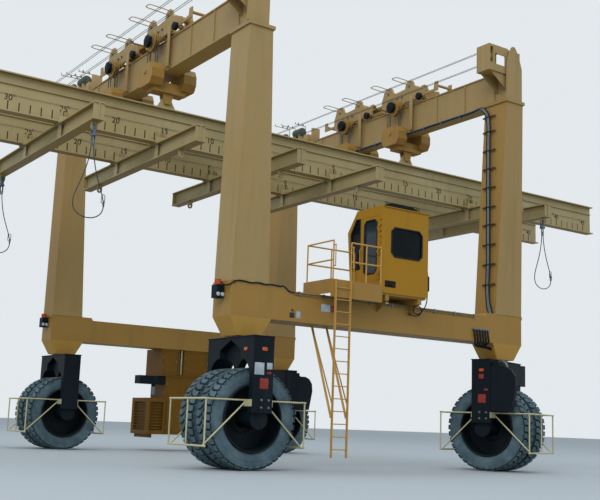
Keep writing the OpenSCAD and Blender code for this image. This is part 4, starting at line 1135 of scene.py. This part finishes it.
# %% Oval links and ferrules
link = []
for k in range(33):
    angle = math.tau * k / 32
    stretch = 0.075 if math.cos(angle) > 0 else -0.075
    link.append((0.050 * math.sin(angle), -0.115 + stretch + 0.050 * math.cos(angle)))
ferrule = turned([(0.0, 0.0), (0.018, 0.0), (0.024, -0.012), (0.024, -0.110), (0.017, -0.130),
                  (0.0, -0.130)], 16)
for where, (x, y) in SLING_PLACES.items():
    spots = [(x + dx, y, SLING_TOP + dz) for dx, dz in link]
    rod(spots, 0.024, "oval_link_" + where, forged_steel, "hoist_left")
    # the choker's eye and keeper, two thirds of the way down the right leg
    spots = [(x + 0.385 + 0.9 * dx, y, SLING_TOP - 1.47 + 0.9 * dz) for dx, dz in link]
    rod(spots, 0.022, "choker_eye_" + where, forged_steel, "hoist_left")
    spots = [(x + 0.405, y + 0.8 * dx, SLING_TOP - 1.63 + 0.6 * dz) for dx, dz in link]
    rod(spots, 0.020, "choker_keeper_" + where, forged_steel, "hoist_left")
    copies(ferrule, [at(x + s * LEG_GAP, y, SLING_TOP - 0.125) for s in (-1, 1)],
           "ferrules_" + where, forged_steel, "hoist_left")
drop(ferrule)
print("links and ferrules on", len(SLING_PLACES), "slings")

# %% Clamp bolts of the cross beams
ARM_FEET = (-24.9, -15.4, -4.6, 4.85, 24.8, 29.3)
spots = [at(feet * FT + dx, sy * 1.4 + s * 0.1905, 8.81, (-90 * s, 0, 0))
         for feet in ARM_FEET for sy in (-1, 1) for s in (-1, 1)
         for dx in (-0.17, -0.06, 0.06, 0.17)]
fixed(bolt(0.034, 0.022), spots, "clamp_bolts", zinc, "hoist_left")
print(len(spots), "clamp bolts")

# %% [markdown]
# ## Cab
# Every pane sits in a black rubber gasket. The door has its own pane, and a pull handle
# stands beside it. The right corner carries a hose in its sheath. A gasket is a bevelled
# curve round the pane, which gives it the same round lip as the extruded rubber has.

# %% Panes and gaskets
def gasket(points, name, size, x=None, y=None, body="frame"):
    """A round lip along an outline on a wall at one x or at one y."""
    ring = [(a, y, z) if x is None else (x, a, z) for a, z in points]
    rod(ring + [ring[0]], size, name, gasket_rubber_and_gap_shade, body)


def cut_corners(x0, z0, w, h, c):
    """The outline of a pane with its corners cut off."""
    return [(x0 + c, z0), (x0 + w - c, z0), (x0 + w, z0 + c), (x0 + w, z0 + h - c),
            (x0 + w - c, z0 + h), (x0 + c, z0 + h), (x0, z0 + h - c), (x0, z0 + c)]


DOOR_PANE = cut_corners(-6.544, 5.056, 0.528, 1.438, 0.090)
gasket(cut_corners(-0.430, 5.510, 1.06, 0.78, 0.110), "outer_gasket", 0.042, y=-6.762)
gasket(DOOR_PANE, "door_gasket", 0.036, x=-0.753, body="cab_door")
gasket([(-5.84, 5.23), (-5.45, 5.23), (-5.43, 6.22), (-5.66, 6.59), (-5.84, 6.59)],
       "quarter_gasket", 0.036, x=-0.752)

# The door's pane is painted lighter as painted light, for light from behind it.
build = bmesh.new()
front = [build.verts.new((-0.726, y, z)) for y, z in DOOR_PANE]
back = [build.verts.new((-0.718, y, z)) for y, z in DOOR_PANE]
build.faces.new(front)
build.faces.new(list(reversed(back)))
for k in range(len(DOOR_PANE)):
    j = (k + 1) % len(DOOR_PANE)
    build.faces.new((front[k], back[k], back[j], front[j]))
finished(built("door_pane", build), "door_pane", backlit_door_glass, "cab_door", 30)

# %% Handles, hinge bolts, vent and roof trim
fixed(bolt(0.026, 0.016, 1.15),
      [at(-0.7505, -6.715, z, (0, -90, 0))
       for z in (5.55, 5.70, 5.85, 6.00, 6.15, 6.30, 6.45)], "cab_corner_bolts", hose_rubber)
hose([(-0.748, -5.905, 5.30), (-0.800, -5.905, 5.33), (-0.805, -5.905, 5.45),
      (-0.805, -5.905, 5.62), (-0.800, -5.905, 5.74), (-0.748, -5.905, 5.77)], 0.026,
     "cab_pull_handle", rail_enamel, "frame")
rod([(-0.70, -6.775, 6.815), (0.10, -6.775, 6.815), (0.84, -6.775, 6.815)], 0.030,
    "roof_gutter", cab_enamel, "frame")
louvre = slab((0.33, 0.012, 0.020), 0.003)
louvre.data.transform(at(0, 0, 0, (25, 0, 0)))
fixed(louvre, [at(-0.45, -6.755, 4.715 + 0.030 * k) for k in range(5)], "vent_louvres",
      hose_rubber)
gasket([(-0.625, 4.695), (-0.275, 4.695), (-0.275, 4.855), (-0.625, 4.855)], "vent_rim", 0.016,
       y=-6.762)

# %% Cab hose
hose([(0.855, -6.62, 5.42), (0.885, -6.66, 5.36), (0.895, -6.70, 5.20), (0.895, -6.70, 4.80),
      (0.890, -6.70, 4.55), (0.86, -6.68, 4.35), (0.78, -6.64, 4.20), (0.66, -6.60, 4.10),
      (0.55, -6.56, 4.14), (0.56, -6.55, 4.28), (0.68, -6.56, 4.33), (0.79, -6.58, 4.26),
      (0.80, -6.56, 4.14), (0.72, -6.50, 4.07), (0.62, -6.42, 4.08), (0.55, -6.34, 4.13)],
     0.030, "cab_hose", hose_rubber)
fixed(turned([(0.0, -0.20), (0.040, -0.20), (0.050, -0.185), (0.050, 0.185), (0.040, 0.20),
              (0.0, 0.20)], 24), [at(0.897, -6.70, 4.93)], "hose_sheath", hose_rubber)

# %% [markdown]
# ## Seat
# The seat is a crowned cushion and a crowned back on a post. A cloth simulation could blow
# such a cushion up, but a subdivided block whose points are pushed up in the middle and
# pulled in between its corners gives the same soft form at once, and the same each time.

# %% Seat cushions
def cushion(width, depth, thick, crown):
    deselect()
    bpy.ops.mesh.primitive_cube_add(size=1)
    made = bpy.context.object
    edit(made)
    bpy.ops.mesh.subdivide(number_cuts=9)
    bpy.ops.object.mode_set(mode="OBJECT")
    for v in made.data.vertices:
        u, w, t = 2 * v.co.x, 2 * v.co.y, 2 * v.co.z
        edge = max(abs(u), abs(w))
        sag = 1 - 0.05 * (1 - (w if abs(u) > abs(w) else u) ** 2)
        round_off = 1 - 0.10 * t * t * edge ** 6
        v.co.x = u * width / 2 * sag * round_off
        v.co.y = w * depth / 2 * sag * round_off
        rise = crown * (1 - u * u) * (1 - w * w) if t > 0 else 0.0
        soft = 0.22 * edge ** 8 * abs(t)
        v.co.z = t * thick / 2 * (1 - soft) + rise * t
        groove = math.exp(-((abs(u) - 0.52) / 0.05) ** 2)
        if t > 0.9:
            v.co.z -= 0.010 * groove
    smooth = made.modifiers.new("round", "SUBSURF")
    smooth.levels = 2
    bpy.ops.object.modifier_apply(modifier="round")
    return made


squab = cushion(0.49, 0.47, 0.115, 0.020)
squab = fixed(squab, [at(0.05, -6.16, 5.052)], "seat_cushion", vinyl, smooth=60)
back_rest = cushion(0.45, 0.60, 0.100, 0.016)
back_rest = fixed(back_rest, [at(0.05, -6.352, 5.435, (90, 0, 180))], "seat_back", vinyl,
                  smooth=60)
post = turned([(0.0, 0.0), (0.150, 0.0), (0.155, 0.010), (0.150, 0.022), (0.075, 0.030),
               (0.060, 0.050), (0.060, 0.330), (0.100, 0.360), (0.150, 0.385),
               (0.150, 0.400), (0.0, 0.400)], 32)
fixed(post, [at(0.05, -6.16, 4.592)], "seat_post", hose_rubber)
strap = slab((0.080, 0.012, 0.500), 0.004)
fixed(strap, [at(0.05, -6.405, 5.200)], "seat_bracket", hose_rubber)
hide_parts("cab_seat")
print("seat: cushion, back and post")

# %% [markdown]
# ## Power pack and winches
# The engine house gets the seams, latches and hinges of its doors, a pale post in its slot
# and a steel sleeve round its pipe. The winches get bolt circles. A door's seam is a gap of
# a few millimetres: a thin dark curve round the door is painted shade for that gap, drawn
# without cutting the solid.

# %% Power pack trim
fixed(turned([(0.074, 0.0), (0.078, 0.004), (0.078, 0.30), (0.074, 0.304), (0.066, 0.305),
              (0.066, -0.001), (0.074, 0.0)], 32), [at(-0.935, 5.70, 1.925)], "filter_sleeve",
      zinc, "frame")
rod([(0.035, 5.512, 2.70), (0.035, 5.512, 3.10), (0.035, 5.512, 3.56)], 0.050, "power_post",
    cream_enamel, "frame", 3)


def seam(points, name):
    # A thin black ring: painted shade in the gap round the door.
    rod(points + [points[0]], 0.008, name, gasket_rubber_and_gap_shade, "frame", 1)


for k, (x0, x1, z0, z1) in enumerate(((-0.46, 0.26, 0.66, 2.56), (0.34, 1.06, 0.66, 2.56),
                                      (-0.70, -0.11, 2.76, 3.50), (0.18, 1.16, 2.76, 3.50))):
    y = 5.5185 if z1 < 2.6 else 5.4785
    seam([(x0, y, z0), (x1, y, z0), (x1, y, z1), (x0, y, z1)], "pack_door_seam_%d" % k)
    fixed(slab((0.030, 0.028, 0.120), 0.006), [at(x1 - 0.07, y - 0.010, (z0 + z1) / 2)],
          "pack_latch_%d" % k, zinc, "frame")
    fixed(turned([(0.0, 0.0), (0.011, 0.0), (0.011, 0.10), (0.0, 0.10)], 12),
          [at(x0 - 0.004, y - 0.004, z) for z in (z0 + 0.15, z1 - 0.25)], "pack_hinges_%d" % k,
          zinc, "frame")

# %% Winch trim
DRUM_Y, DRUM_Z = 5.84, 12.31
DRUM_BOLTS, BOLT_CIRCLE = 8, 0.17
for middle, side_name in GIRDERS:
    circle = [at(middle + s * 0.2605, DRUM_Y + dy, DRUM_Z + dz, (0, 90 * s, 0))
              for s in (-1, 1) for dy, dz in around(DRUM_BOLTS, BOLT_CIRCLE)]
    fixed(bolt(0.030, 0.018), circle, "winch_bolts_" + side_name, zinc, "frame")
print("power pack and winches trimmed")
